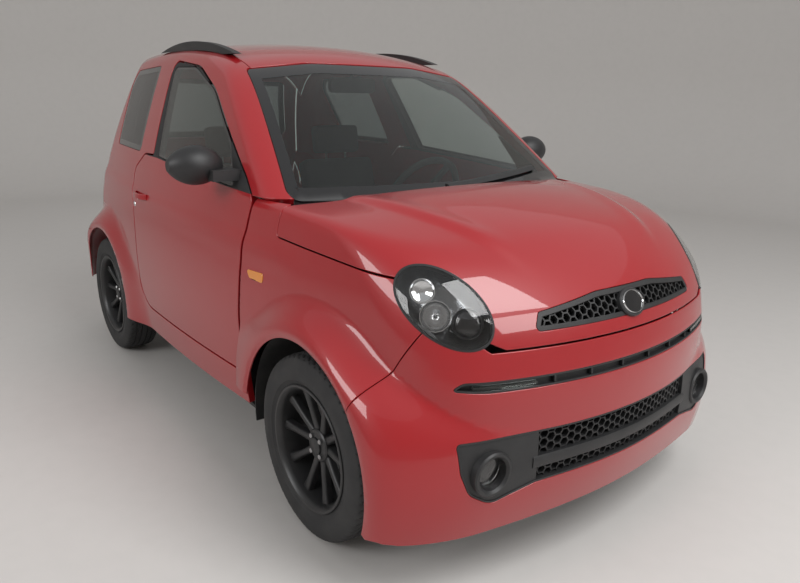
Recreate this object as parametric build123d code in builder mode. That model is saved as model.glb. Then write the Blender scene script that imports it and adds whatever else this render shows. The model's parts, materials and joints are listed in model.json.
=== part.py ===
from build123d import *
import math
import os

os.makedirs("parts", exist_ok=True)

# Microcar. X forward, Y to the car's left, Z up, millimetres.
# The origin is on the ground, halfway along the car and on its centre line.

# driving dimensions
half_length = 1480
wheelbase = 1900
front_axle_x = 900
rear_axle_x = front_axle_x - wheelbase
wheel_centre_y = 642.5
tyre_radius = 278.5
tyre_width = 155
rim_radius = 178
rim_width = 127
arch_radius = 332
flare_radius = 415
flare_half_width = 745
liner_gap = 14

# panels and gaps
panel = 5
pillar = 28
door_thickness = 40
glass = 5
lid_thickness = 30
shut_gap = 7
seam = 0.4
pin_clearance = 0.3

# heights that several pieces share
sill_bottom = 255
belt_z = 950
floor_z = 225
floor_thickness = 12
jack_pad_x = 300
jack_pad_y = 600
jack_pad_depth = 12
bumper_bottom = 185
rear_bumper_bottom = 292

# steering and hinges
kingpin_low = (front_axle_x, 575, 170)
kingpin_high = (front_axle_x, 500, 750)
door_hinge_x = 400
door_hinge_y = 700

# axles, struts and bearings
stub_radius = 14.7
knuckle_y = 545
strut_radius = 22
rod_radius = 8
spring_radius = 46
tower_width = 120
tower_top = 762
liner = 4
liner_inner_y = 430
rear_liner_inner_y = 532
beam_radius = 30

# cabin
bulkhead_x = 540
bulkhead_top = 888
bulkhead_thickness = 30
bulkhead_half_width = 596
boot_floor_z = 425
boot_end_x = -1346
boot_step_x = -620
seat_centre_y = 270
seat_width = 420
column_axis = Vector(-0.9, 0, 0.42).normalized()
wheel_middle = Vector(205, seat_centre_y, 850)
column_reach = 110
column_top = wheel_middle - column_axis * column_reach
steering_wheel_radius = 175
dashboard_half_width = 555

# housings, hinges and small parts
cowl_x = 745
housing_outer_y = 700
post_width = 54
sill_y = 630
sill_width = 70
sill_height = 118
door_hinges = ((500, 502), (790, 530))  # height, end of the arm inside the post
hinge_height = 18
hinge_pocket = 30
hinge_pin_radius = 3.5
hinge_arm_y = 622
bonnet_hinge_x = 716
bonnet_hinge_y = 450
bonnet_hinge_z = 930
bonnet_rear_x = 800
tailgate_hinge_x = -1157
tailgate_hinge_y = 220
tailgate_hinge_z = 1416
roof_half_width = 468
rail_front_x = 30
rail_rear_x = -800
rail_end_z = 1396
rail_top_z = 1452
mirror_x = 335
mirror_z = 1040
mirror_tip_y = 861
mirror_radius = 62
mirror_half_length = 85
fog_lamp_y = 476
fog_lamp_z = 366
fog_lamp_radius = 42

# running gear under the floor
stub_end_y = wheel_centre_y + 20
rear_beam_end_y = 540
exhaust_z = 204.6
exhaust_radius = 20
tailpipe_length = 90

# wheels
hub_radius = 52
hub_inner_y = -52
brake_disc_radius = 104
disc_y = -38
spoke_count = 10

# plan radii that every body level shares
nose_radius = 1360
tail_radius = 1300
side_radius = 9000
side_centre_x = -100

# height, nose x, half width, front corner radius, tail x, rear corner radius
body_levels = (
    (160, 1432, 692, 200, -1440, 180),
    (300, 1470, 714, 230, -1474, 200),
    (460, half_length, 728, 240, -half_length, 220),
    (620, 1472, 734, 250, -1474, 240),
    (780, 1413, 728, 270, -1446, 260),
    (belt_z, 1200, 698, 300, -1378, 300),
    (1000, 1110, 684, 300, -1356, 300),
)

# height, screen x, screen radius, half width, front corner radius, tail x, rear corner radius
greenhouse_levels = (
    (belt_z, 770, 1700, 694, 100, -1374, 300),
    (1090, 577, 1755, 648, 100, -1330, 270),
    (1240, 363, 1820, 590, 100, -1268, 240),
    (1390, 139, 1900, 528, 100, -1192, 220),
    (1480, 0, 1950, 496, 100, -1150, 200),
)

# x, height on the centre line, height at the edge
roof_sections = (
    (820, 1150, 1028),
    (320, 1322, 1200),
    (145, 1386, 1264),
    (0, 1426, 1302),
    (-300, 1460, 1336),
    (-700, 1460, 1336),
    (-1000, 1438, 1316),
    (-1320, 1376, 1256),
    (-1500, 1330, 1210),
)

bonnet_sections = (
    (380, 990, 953),
    (700, 980, 934),
    (900, 978, 913),
    (1060, 954, 884),
    (1200, 915, 843),
    (1330, 855, 783),
    (1420, 790, 718),
    (1520, 705, 633),
)
crown_edge_y = 800


def corner_arc(end_x, end_radius, half_width, corner, sign):
    """Start, middle and end of the arc that joins an end arc to the left side arc."""
    end_centre = Vector(end_x - sign * end_radius, 0)
    side_centre = Vector(side_centre_x, half_width - side_radius)
    to_end = end_radius - corner
    to_side = side_radius - corner
    between = side_centre - end_centre
    along = (to_end**2 - to_side**2 + between.length**2) / (2 * between.length)
    across = math.sqrt(to_end**2 - along**2)
    unit = between.normalized()
    normal = Vector(-unit.Y, unit.X)
    choices = [end_centre + unit * along + normal * s * across for s in (1, -1)]
    centre = max(choices, key=lambda point: sign * point.X)
    start = end_centre + (centre - end_centre).normalized() * end_radius
    end = side_centre + (centre - side_centre).normalized() * side_radius
    middle = centre + ((start - centre) + (end - centre)).normalized() * corner
    return start, middle, end


def plan_sketch(z, level, inset):
    """Closed plan outline of eight arcs at one height."""
    nose, nose_r, half_width, front_corner, tail, tail_r, rear_corner = level
    front = corner_arc(nose - inset, nose_r - inset, half_width - inset, front_corner - inset, 1)
    rear = corner_arc(tail + inset, tail_r - inset, half_width - inset, rear_corner - inset, -1)
    side_centre = Vector(side_centre_x, half_width - side_radius)
    half_way = ((front[2] - side_centre) + (rear[2] - side_centre)).normalized()
    side = side_centre + half_way * (side_radius - inset)
    left = [*front, side, *reversed(rear)]
    right = [Vector(point.X, -point.Y) for point in left]
    with BuildSketch(Plane.XY.offset(z)) as sketch:
        with BuildLine():
            ThreePointArc(right[0], (nose - inset, 0), left[0])
            for start in (0, 2, 4):
                ThreePointArc(*left[start : start + 3])
            ThreePointArc(left[6], (tail + inset, 0), right[6])
            for start in (6, 4, 2):
                ThreePointArc(right[start], right[start - 1], right[start - 2])
        make_face()
    return sketch.sketch


def lower_form(inset=0.0):
    """The body below and beside the bonnet, as a closed solid."""
    with BuildPart() as form:
        for z, nose, half_width, front_corner, tail, rear_corner in body_levels:
            level = (nose, nose_radius, half_width, front_corner, tail, tail_radius, rear_corner)
            add(plan_sketch(z, level, inset))
        loft()
    return form.part


def greenhouse_form(inset=0.0):
    """Windscreen, side glass and tail above the belt, as a closed solid."""
    with BuildPart() as form:
        for z, screen, screen_r, half_width, front_corner, tail, rear_corner in greenhouse_levels:
            level = (screen, screen_r, half_width, front_corner, tail, tail_radius, rear_corner)
            add(plan_sketch(z, level, inset))
        loft()
    return form.part


def crown_form(sections, bottom, drop=0.0):
    """A block under a crowned top, from cross sections along the car."""
    with BuildPart() as form:
        for x, centre_z, edge_z in sections:
            with BuildSketch(Plane((x, 0, 0), x_dir=(0, 1, 0), z_dir=(1, 0, 0))):
                with BuildLine():
                    left = (crown_edge_y, edge_z - drop)
                    right = (-crown_edge_y, edge_z - drop)
                    ThreePointArc(left, (0, centre_z - drop), right)
                    Polyline(right, (-crown_edge_y, bottom), (crown_edge_y, bottom), left)
                make_face()
        loft()
    return form.part



def arch_flare(axle_x, side, inset=0.0):
    """Ring that swells the body side around a wheel opening; side is 1 for left."""
    inner_y = 600
    crest = flare_half_width - inset
    start = axle_x + arch_radius + inset
    with BuildPart() as flare:
        with BuildSketch(Plane.XY.offset(tyre_radius)):
            with BuildLine():
                Polyline(
                    (start, side * inner_y),
                    (start, side * (crest - 6)),
                    (start + 6, side * crest),
                    (start + 24, side * crest),
                    (axle_x + flare_radius, side * (crest - 46)),
                    (axle_x + flare_radius, side * inner_y),
                    close=True,
                )
            make_face()
        revolve(axis=Axis((axle_x, 0, tyre_radius), (0, 1, 0)))
    return flare.part


def disc(x, z, radius, y_from, y_to):
    """Cylinder across the car between two distances from the centre line."""
    side = 1 if y_to > y_from else -1
    with BuildPart() as cylinder:
        with BuildSketch(Plane((x, y_from, z), x_dir=(1, 0, 0), z_dir=(0, side, 0))):
            Circle(radius)
        extrude(amount=abs(y_to - y_from))
    return cylinder.part


def outlined_block(plane, outline, grow, depth):
    """Block behind a closed outline of (u, v, corner radius) rows, grown or shrunk all round."""
    with BuildPart() as block:
        with BuildSketch(plane):
            with BuildLine():
                FilletPolyline(*[row[:2] for row in outline], radius=[row[2] for row in outline], close=True)
            make_face()
            if grow:
                offset(amount=grow, kind=Kind.INTERSECTION)
        extrude(amount=depth)
    return block.part


def side_block(outline, grow=0.0, depth=1000.0, start=0.0):
    """Block over an outline of the car's right side, in x and z."""
    return outlined_block(Plane((0, -start, 0), x_dir=(1, 0, 0), z_dir=(0, -1, 0)), outline, grow, depth)


def end_block(outline, start_x, grow=0.0, depth=1700.0, direction=1):
    """Block over an outline of the front or rear view, in y and z; direction is 1 forward."""
    plane = Plane((start_x, 0, 0), x_dir=(0, direction, 0), z_dir=(direction, 0, 0))
    return outlined_block(plane, outline, grow, depth)


def both_sides(outline):
    """An outline's right half, given from bottom to top, closed with its left half."""
    return [*outline, *[(-u, v, r) for u, v, r in reversed(outline)]]


# outlines on the side view: x, z, corner radius
door_outline = (
    (478, 370, 45),
    (480, 570, 400),
    (506, 790, 300),
    (530, 952, 40),
    (462, 1008, 150),
    (70, 1268, 500),
    (-140, 1352, 300),
    (-446, 1380, 45),
    (-352, 1012, 12),
    (-462, 1008, 40),
    (-553, 940, 60),
    (-548, 880, 150),
    (-498, 730, 400),
    (-500, 368, 125),
)
door_glass_outline = (
    (402, 972, 12),
    (300, 1108, 60),
    (60, 1268, 300),
    (-180, 1350, 200),
    (-411, 1352, 25),
    (-290, 1011, 12),
)
post_outline = (
    (492, sill_bottom),
    (bulkhead_x, sill_bottom),
    (bulkhead_x, 660),
    (584, 760),
    (584, belt_z + 40),
    (550, belt_z + 40),
    (550, belt_z),
    (516, 790),
    (492, 600),
)
quarter_glass_outline = (
    (-534, 1012, 20),
    (-604, 1360, 20),
    (-960, 1344, 45),
    (-1010, 1290, 60),
    (-938, 1016, 30),
)
side_frame_outline = (
    (484, sill_bottom, 4),
    (484, belt_z + 8, 0),
    (800, belt_z + 8, 0),
    (800, 1480, 0),
    (-1520, 1480, 0),
    (-1520, 585, 0),
    (-1150, 585, 0),
    (-1150, sill_bottom, 0),
)
bumper_edge = (
    (1268, 722, 20),
    (1246, 681, 60),
    (1221, 636, 100),
    (1195, 588, 100),
    (1168, 534, 60),
    (1120, 430, 0),
)
wing_outline = (
    (486, 335, 2),
    (488, 570, 400),
    (514, 790, 300),
    (536, belt_z + 6, 4),
    (690, belt_z + 6, 10),
    (690, 862, 14),
    (1200, 832, 0),
    (1300, 770, 0),
    *bumper_edge,
    (900, 335, 0),
)
front_bumper_outline = (
    (1600, bumper_bottom, 0),
    (1600, 676, 0),
    (1372, 676, 4),
    (1364, 700, 0),
    (1300, 770, 0),
    *bumper_edge,
    (1120, bumper_bottom, 0),
)
bonnet_outline = (
    (690, 1060, 0),
    (690, 862, 14),
    (1200, 832, 0),
    (1300, 770, 0),
    (1364, 700, 0),
    (1372, 676, 4),
    (1600, 676, 0),
    (1600, 1060, 0),
)
rear_bumper_outline = (
    (-1520, rear_bumper_bottom, 0),
    (-1520, 585, 0),
    (-1150, 585, 0),
    (-1150, rear_bumper_bottom, 0),
)
repeater_outline = (
    (545, 738, 6),
    (640, 742, 8),
    (634, 714, 6),
    (562, 716, 6),
)

# outlines on the front or rear view, right half from bottom to top: y, z, corner radius
windscreen_outline = both_sides(((612, belt_z + 7, 25), (486, 1343, 25), (240, 1372, 500)))
tailgate_outline = both_sides(((500, 592, 60), (505, 900, 200), (405, 1500, 0)))
rear_window_outline = both_sides(((430, 1010, 40), (365, 1325, 40)))
upper_grille_outline = both_sides(((350, 714, 12), (326, 758, 12), (120, 784, 300)))
slot_outline = both_sides(((480, 577, 20), (566, 583, 6), (540, 606, 30)))
lower_grille_outline = both_sides(
    ((340, 308, 60), (420, 292, 40), (476, 278, 60), (540, 320, 50), (562, 380, 60), (568, 457, 12))
)
tail_lamp_outline = ((545, 700, 30), (800, 690, 0), (800, 930, 0), (545, 920, 30))

# headlight: middle of the lens, the way it faces, its long direction and half axes
headlight_middle = Vector(1277, -542, 779)
headlight_facing = Vector(0.718, -0.618, 0.319)
headlight_long = Vector(-0.672, -0.497, 0.549)
headlight_half_axes = (138, 78)
headlight_depth = 120


def headlight_block(grow=0.0, depth=headlight_depth, reach=200):
    """Elliptical block that runs through the body skin at the right headlight."""
    start = headlight_middle - headlight_facing.normalized() * depth
    with BuildPart() as block:
        with BuildSketch(Plane(start, x_dir=headlight_long, z_dir=headlight_facing)):
            Ellipse(headlight_half_axes[0] + grow, headlight_half_axes[1] + grow)
        extrude(amount=depth + reach)
    return block.part


def nose_form(inset=0.0):
    """Bonnet, wings and front bumper as one closed solid, with room for the wheels."""
    with BuildPart() as form:
        add(lower_form(inset))
        add(crown_form(bonnet_sections, 100, inset), mode=Mode.INTERSECT)
        for side in (1, -1):
            add(disc(front_axle_x, tyre_radius, arch_radius + inset, side * 600, side * 900), mode=Mode.SUBTRACT)
            add(arch_flare(front_axle_x, side, inset))
    return form.part


def cabin_form(inset, upper_inset):
    """Doors, pillars, roof and tail as one closed solid, with room for the rear wheels."""
    with BuildPart() as upper:
        add(greenhouse_form(upper_inset))
        add(crown_form(roof_sections, 900, upper_inset), mode=Mode.INTERSECT)
    with BuildPart() as form:
        add(lower_form(inset))
        split(bisect_by=Plane.XY.offset(belt_z), keep=Keep.BOTTOM)
        for side in (1, -1):
            add(disc(rear_axle_x, tyre_radius, arch_radius + inset, side * 600, side * 900), mode=Mode.SUBTRACT)
            add(arch_flare(rear_axle_x, side, inset))
        add(upper.part)
    return form.part


nose_outer = nose_form()
nose_inner = nose_form(panel)
cabin_outer = cabin_form(0, 0)
cabin_inner = cabin_form(pillar, pillar)
cabin_skin_inner = cabin_form(panel, panel)
door_inner = cabin_form(door_thickness, pillar)


pieces = {}


def store(name, piece):
    """Label a finished piece and keep it for export."""
    piece.part.label = name
    pieces[name] = piece


def mirrored(piece):
    """The same piece on the car's other side."""
    with BuildPart() as other:
        mirror(piece.part, about=Plane.XZ)
    return other


# floor pan: floor, front tray, bulkhead, cowl, boot floor, wheel housings and strut towers
tower_y = liner_inner_y + tower_width / 2 + 24
floor_half_width = 662
floor_outline = (
    (1330, 300, 30),
    (1210, 420, 30),
    (bulkhead_x + 10, 420, 0),
    (bulkhead_x + 10, floor_half_width, 0),
    (boot_step_x, floor_half_width, 0),
    (boot_step_x, 520, 0),
)
housings = (
    (front_axle_x, liner_inner_y, nose_inner, 0),
    (rear_axle_x, rear_liner_inner_y, cabin_inner, beam_radius + 14),
)



def wheel_housing(axle_x, inner_y, side, room, axle_hole):
    """Half drum over a wheel, closed on its inner side and trimmed to the room inside the body."""
    with BuildPart() as housing:
        with BuildSketch(Plane((axle_x, side * inner_y, 0), x_dir=(-side, 0, 0), z_dir=(0, side, 0))):
            with Locations((0, tyre_radius)):
                Circle(arch_radius + liner_gap + liner)
            with Locations((0, floor_z - 500)):
                Rectangle(1200, 1000, mode=Mode.SUBTRACT)
        extrude(amount=housing_outer_y - inner_y)
        inside = side * (inner_y + liner)
        add(disc(axle_x, tyre_radius, arch_radius + liner_gap, inside, side * 800), mode=Mode.SUBTRACT)
        if axle_hole:
            near, far = side * (inner_y - 20), side * (inner_y + 20)
            add(disc(axle_x, tyre_radius, axle_hole, near, far), mode=Mode.SUBTRACT)
        add(room, mode=Mode.INTERSECT)
    return housing.part


wheel_housings = [
    wheel_housing(axle_x, inner_y, side, room, axle_hole)
    for axle_x, inner_y, room, axle_hole in housings
    for side in (1, -1)
]

with BuildPart() as floor_pan:
    with BuildSketch(Plane.XY.offset(floor_z)):
        with BuildLine():
            rows = [*floor_outline, *[(x, -y, r) for x, y, r in reversed(floor_outline)]]
            FilletPolyline(*[row[:2] for row in rows], radius=[row[2] for row in rows], close=True)
        make_face()
    extrude(amount=floor_thickness)
    with BuildSketch(Plane.XY.offset(floor_z - jack_pad_depth)):
        with Locations((jack_pad_x, jack_pad_y), (jack_pad_x, -jack_pad_y)):
            Rectangle(90, 60)
    extrude(amount=jack_pad_depth + 4)
    with BuildSketch(Plane.XZ):
        with BuildLine():
            Polyline(
                (bulkhead_x, floor_z + 4),
                (bulkhead_x + bulkhead_thickness, floor_z + 4),
                (bulkhead_x + bulkhead_thickness, bulkhead_top - 10),
                (cowl_x, bulkhead_top - 10),
                (cowl_x, bulkhead_top),
                (bulkhead_x, bulkhead_top),
                close=True,
            )
        make_face()
    extrude(amount=bulkhead_half_width, both=True)
    with BuildSketch(Plane.XZ):
        with BuildLine():
            Polyline(
                (boot_step_x, floor_z + 4),
                (boot_step_x, boot_floor_z),
                (boot_end_x, boot_floor_z),
                (boot_end_x, boot_floor_z - 10),
                (boot_step_x - 10, boot_floor_z - 10),
                (boot_step_x - 10, floor_z + 4),
                close=True,
            )
        make_face()
    extrude(amount=rear_liner_inner_y + liner, both=True)
    for housing in wheel_housings:
        add(housing)
    with BuildSketch(Plane.XY.offset(590)):
        with Locations((front_axle_x, tower_y), (front_axle_x, -tower_y)):
            Rectangle(tower_width + 2 * liner, tower_width + 2 * liner)
    extrude(amount=tower_top - 590)
    with BuildSketch(Plane.XY.offset(560)):
        with Locations((front_axle_x, tower_y), (front_axle_x, -tower_y)):
            Rectangle(tower_width, tower_width)
    extrude(amount=tower_top - liner - 560, mode=Mode.SUBTRACT)
    for side in (1, -1):
        with BuildSketch(Plane.XZ.offset(-side * bonnet_hinge_y)):
            with BuildLine():
                Polyline(
                    (bonnet_hinge_x - 14, bulkhead_top - 4),
                    (bonnet_hinge_x + 14, bulkhead_top - 4),
                    (bonnet_hinge_x + 9, bonnet_hinge_z),
                    (bonnet_hinge_x - 9, bonnet_hinge_z),
                    close=True,
                )
            make_face()
            with Locations((bonnet_hinge_x, bonnet_hinge_z)):
                Circle(9)
        extrude(amount=6)
        add(disc(bonnet_hinge_x, bonnet_hinge_z, 4, side * bonnet_hinge_y - 6, side * bonnet_hinge_y + 14))
store("floor_pan", floor_pan)

# fixed body panels
with BuildPart() as wing_right:
    add(nose_outer)
    add(side_block(wing_outline, -seam), mode=Mode.INTERSECT)
    add(nose_inner, mode=Mode.SUBTRACT)
    add(headlight_block(seam), mode=Mode.SUBTRACT)
    add(side_block(repeater_outline), mode=Mode.SUBTRACT)

with BuildPart() as side_frame_right:
    add(cabin_outer)
    add(side_block(side_frame_outline, -seam), mode=Mode.INTERSECT)
    add(cabin_inner, mode=Mode.SUBTRACT)
    add(side_block(door_outline), mode=Mode.SUBTRACT)
    add(side_block(quarter_glass_outline), mode=Mode.SUBTRACT)
    add(end_block(windscreen_outline, 60), mode=Mode.SUBTRACT)
    add(end_block(tailgate_outline, -1150, direction=-1), mode=Mode.SUBTRACT)
    add(end_block(tail_lamp_outline, -1225, direction=-1), mode=Mode.SUBTRACT)
    with BuildSketch(Plane.XY):
        Rectangle(4000, 2 * (roof_half_width + seam))
    extrude(amount=1600, mode=Mode.SUBTRACT)
    with BuildSketch(Plane.XZ.offset(bulkhead_half_width)):
        with BuildLine():
            Polyline(*post_outline, close=True)
        make_face()
    extrude(amount=post_width)
    with BuildSketch(Plane.XY.offset(floor_z + floor_thickness)):
        with Locations(((bulkhead_x + boot_step_x) / 2, -sill_y)):
            Rectangle(bulkhead_x - boot_step_x, sill_width)
    extrude(amount=sill_height)
    for z, hinge_arm_end in door_hinges:
        with BuildSketch(Plane.XY.offset(z - hinge_height / 2)):
            with BuildLine():
                Polyline(
                    (door_hinge_x, -door_hinge_y),
                    (door_hinge_x, -hinge_arm_y),
                    (hinge_arm_end, -hinge_arm_y),
                )
                offset(amount=4, side=Side.BOTH)
            make_face()
            with Locations((door_hinge_x, -door_hinge_y)):
                Circle(hinge_pin_radius + 3.5)
                Circle(hinge_pin_radius + pin_clearance, mode=Mode.SUBTRACT)
        extrude(amount=hinge_height)

with BuildPart() as front_bumper:
    add(nose_outer)
    add(side_block(front_bumper_outline, -seam, 2000, -1000), mode=Mode.INTERSECT)
    add(nose_inner, mode=Mode.SUBTRACT)
    add(headlight_block(seam), mode=Mode.SUBTRACT)
    add(mirror(headlight_block(seam), about=Plane.XZ, mode=Mode.PRIVATE), mode=Mode.SUBTRACT)
    for side in (1, -1):
        add(disc(front_axle_x, tyre_radius, arch_radius, side * 480, side * 900), mode=Mode.SUBTRACT)
    for outline in (slot_outline, lower_grille_outline):
        add(end_block(outline, 1000), mode=Mode.SUBTRACT)
store("front_bumper", front_bumper)

with BuildPart() as rear_bumper:
    add(cabin_outer)
    add(side_block(rear_bumper_outline, -seam, 2000, -1000), mode=Mode.INTERSECT)
    add(cabin_skin_inner, mode=Mode.SUBTRACT)
store("rear_bumper", rear_bumper)

with BuildPart() as roof_panel:
    add(cabin_outer)
    with BuildSketch(Plane.XY.offset(1300)):
        with Locations((-1150 / 2 + 150, 0)):
            Rectangle(1150 + 300, 2 * roof_half_width)
    extrude(amount=300, mode=Mode.INTERSECT)
    add(cabin_inner, mode=Mode.SUBTRACT)
    add(end_block(windscreen_outline, 60), mode=Mode.SUBTRACT)
    for side in (1, -1):
        with BuildSketch(Plane.XZ.offset(-side * tailgate_hinge_y)):
            with BuildLine():
                Polyline(
                    (tailgate_hinge_x, tailgate_hinge_z + 8),
                    (tailgate_hinge_x + 18, tailgate_hinge_z + 8),
                    (tailgate_hinge_x + 56, tailgate_hinge_z - 6),
                    (tailgate_hinge_x + 56, tailgate_hinge_z - 28),
                    (tailgate_hinge_x + 15, tailgate_hinge_z - 28),
                    (tailgate_hinge_x + 15, tailgate_hinge_z - 8),
                    (tailgate_hinge_x, tailgate_hinge_z - 8),
                    close=True,
                )
            make_face()
            with Locations((tailgate_hinge_x, tailgate_hinge_z)):
                Circle(8)
        extrude(amount=6)
        pin_y = side * tailgate_hinge_y
        add(disc(tailgate_hinge_x, tailgate_hinge_z, 3.5, pin_y - 6, pin_y + 14))
store("roof_panel", roof_panel)

with BuildPart() as roof_rails:
    for side in (1, -1):
        with BuildSketch(Plane.XZ.offset(-side * roof_half_width)):
            with BuildLine():
                Line((rail_front_x, rail_end_z), (rail_rear_x, rail_end_z))
                ThreePointArc((rail_rear_x, rail_end_z), (-380, rail_top_z), (rail_front_x, rail_end_z))
            make_face()
        extrude(amount=15, both=True)
    add(cabin_outer, mode=Mode.SUBTRACT)
store("roof_rails", roof_rails)

# fixed glass
with BuildPart() as windscreen:
    add(cabin_outer)
    add(end_block(windscreen_outline, 60), mode=Mode.INTERSECT)
    add(cabin_skin_inner, mode=Mode.SUBTRACT)
store("windscreen", windscreen)

with BuildPart() as quarter_windows:
    add(cabin_outer)
    add(side_block(quarter_glass_outline, 0, 2000, -1000), mode=Mode.INTERSECT)
    add(cabin_skin_inner, mode=Mode.SUBTRACT)
store("quarter_windows", quarter_windows)

with BuildPart() as wiper:
    add(greenhouse_form(-14))
    with BuildSketch(Plane((0, 0, 0), x_dir=(0, 1, 0), z_dir=(1, 0, 0))):
        with BuildLine():
            Polyline((-60, 985), (-60, 972), (470, 1002), (470, 1015), close=True)
        make_face()
    extrude(amount=900, mode=Mode.INTERSECT)
    add(greenhouse_form(-0.3), mode=Mode.SUBTRACT)
    split(bisect_by=Plane.YZ)
store("wiper", wiper)

# doors, with their glass and mirror
with BuildPart() as door_right:
    add(cabin_outer)
    add(side_block(door_outline, -shut_gap), mode=Mode.INTERSECT)
    add(door_inner, mode=Mode.SUBTRACT)
    add(side_block(door_glass_outline), mode=Mode.SUBTRACT)
    for z, _ in door_hinges:
        with BuildSketch(Plane.XY.offset(z - hinge_pocket / 2)):
            with Locations((door_hinge_x + 59, -(door_hinge_y - 42))):
                Rectangle(162, 100)
        extrude(amount=hinge_pocket, mode=Mode.SUBTRACT)
        with BuildSketch(Plane.XY.offset(z - hinge_pocket / 2 - 5)):
            with Locations((door_hinge_x, -door_hinge_y)):
                Circle(hinge_pin_radius)
        extrude(amount=hinge_pocket + 10)

with BuildPart() as door_glass_right:
    add(cabin_outer)
    add(side_block(door_glass_outline), mode=Mode.INTERSECT)
    add(cabin_skin_inner, mode=Mode.SUBTRACT)

with BuildPart() as mirror_right:
    with BuildSketch(Plane.XZ.offset(600)):
        with Locations((mirror_x + 45, mirror_z - 28)):
            Rectangle(80, 34)
    extrude(amount=150)
    add(cabin_outer, mode=Mode.SUBTRACT)
    with BuildSketch(Plane.XY.offset(mirror_z)):
        with BuildLine():
            inner_y = -(mirror_tip_y - 2 * mirror_half_length)
            inner = (mirror_x + 26, inner_y)
            outer = (mirror_x + 18, -mirror_tip_y)
            Polyline(outer, (mirror_x, -mirror_tip_y), (mirror_x, inner_y), inner)
            ThreePointArc(inner, (mirror_x + mirror_radius, -(mirror_tip_y - mirror_half_length)), outer)
        make_face()
    revolve(axis=Axis((mirror_x, 0, mirror_z), (0, 1, 0)))

# nose: bonnet with its hinge arms, and the grille that it carries
def bonnet_arm(side):
    """Arm under the bonnet's rear edge that turns on the cowl's hinge pin."""
    with BuildPart() as arm:
        with BuildSketch(Plane.XZ.offset(-side * bonnet_hinge_y - 7)):
            with BuildLine():
                Polyline(
                    (bonnet_hinge_x - 6, bonnet_hinge_z - 9),
                    (bonnet_hinge_x + 20, bonnet_hinge_z - 9),
                    (bonnet_hinge_x + 110, bonnet_hinge_z + 10),
                    (bonnet_hinge_x + 110, bonnet_hinge_z + 100),
                    (bonnet_hinge_x + 50, bonnet_hinge_z + 100),
                    (bonnet_hinge_x + 24, bonnet_hinge_z + 9),
                    (bonnet_hinge_x - 6, bonnet_hinge_z + 9),
                    close=True,
                )
            make_face()
            with Locations((bonnet_hinge_x, bonnet_hinge_z)):
                Circle(9)
                Circle(4 + pin_clearance, mode=Mode.SUBTRACT)
        extrude(amount=6)
        add(nose_inner, mode=Mode.INTERSECT)
    return arm.part


headlight_room = headlight_block(shut_gap)
with BuildPart() as bonnet:
    add(nose_outer)
    add(side_block(bonnet_outline, -shut_gap, 2000, -1000), mode=Mode.INTERSECT)
    add(nose_inner, mode=Mode.SUBTRACT)
    with BuildSketch(Plane.XY.offset(700)):
        with BuildLine():
            ThreePointArc((690, -640), (bonnet_rear_x, 0), (690, 640))
            Polyline((690, 640), (400, 640), (400, -640), (690, -640))
        make_face()
    extrude(amount=400, mode=Mode.SUBTRACT)
    add(headlight_room, mode=Mode.SUBTRACT)
    add(mirror(headlight_room, about=Plane.XZ, mode=Mode.PRIVATE), mode=Mode.SUBTRACT)
    add(end_block(upper_grille_outline, 1000), mode=Mode.SUBTRACT)
    for side in (1, -1):
        add(bonnet_arm(side))
store("bonnet", bonnet)


def grille_plate(outline, grow, front_inset, thickness):
    """Plate that follows the nose behind an opening."""
    with BuildPart() as plate:
        add(nose_form(front_inset))
        add(end_block(outline, 1000, grow), mode=Mode.INTERSECT)
        add(nose_form(front_inset + thickness), mode=Mode.SUBTRACT)
    return plate.part


with BuildPart() as upper_grille:
    add(grille_plate(upper_grille_outline, 8, panel + seam, 8))
store("upper_grille", upper_grille)

with BuildPart() as bumper_grilles:
    add(grille_plate(slot_outline, 8, panel + seam, 8))
    add(grille_plate(lower_grille_outline, 8, panel + seam, 12))
    for side in (1, -1):
        with BuildSketch(Plane.YZ.offset(1200)):
            with Locations((side * fog_lamp_y, fog_lamp_z)):
                Circle(fog_lamp_radius)
        extrude(amount=300, mode=Mode.SUBTRACT)
store("bumper_grilles", bumper_grilles)

# lamps
with BuildPart() as headlight_cavity:
    add(nose_inner)
    add(headlight_block(-4, headlight_depth - 6), mode=Mode.INTERSECT)
with BuildPart() as headlight_right:
    add(nose_outer)
    add(headlight_block(), mode=Mode.INTERSECT)
    add(headlight_cavity.part, mode=Mode.SUBTRACT)
with BuildPart() as headlights:
    add(headlight_right.part)
    mirror(headlight_right.part, about=Plane.XZ)
store("headlights", headlights)

with BuildPart() as repeater_right:
    add(nose_outer)
    add(side_block(repeater_outline), mode=Mode.INTERSECT)
    add(nose_inner, mode=Mode.SUBTRACT)
with BuildPart() as front_lamps:
    add(repeater_right.part)
    mirror(repeater_right.part, about=Plane.XZ)
    for side in (1, -1):
        with BuildSketch(Plane.YZ.offset(1330)):
            with Locations((side * fog_lamp_y, fog_lamp_z)):
                Circle(fog_lamp_radius)
        extrude(amount=48)
store("front_lamps", front_lamps)

with BuildPart() as tail_lamp_right:
    add(cabin_outer)
    add(end_block(tail_lamp_outline, -1225, direction=-1), mode=Mode.INTERSECT)
    add(cabin_inner, mode=Mode.SUBTRACT)
with BuildPart() as tail_lamps:
    add(tail_lamp_right.part)
    mirror(tail_lamp_right.part, about=Plane.XZ)
store("tail_lamps", tail_lamps)


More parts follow.
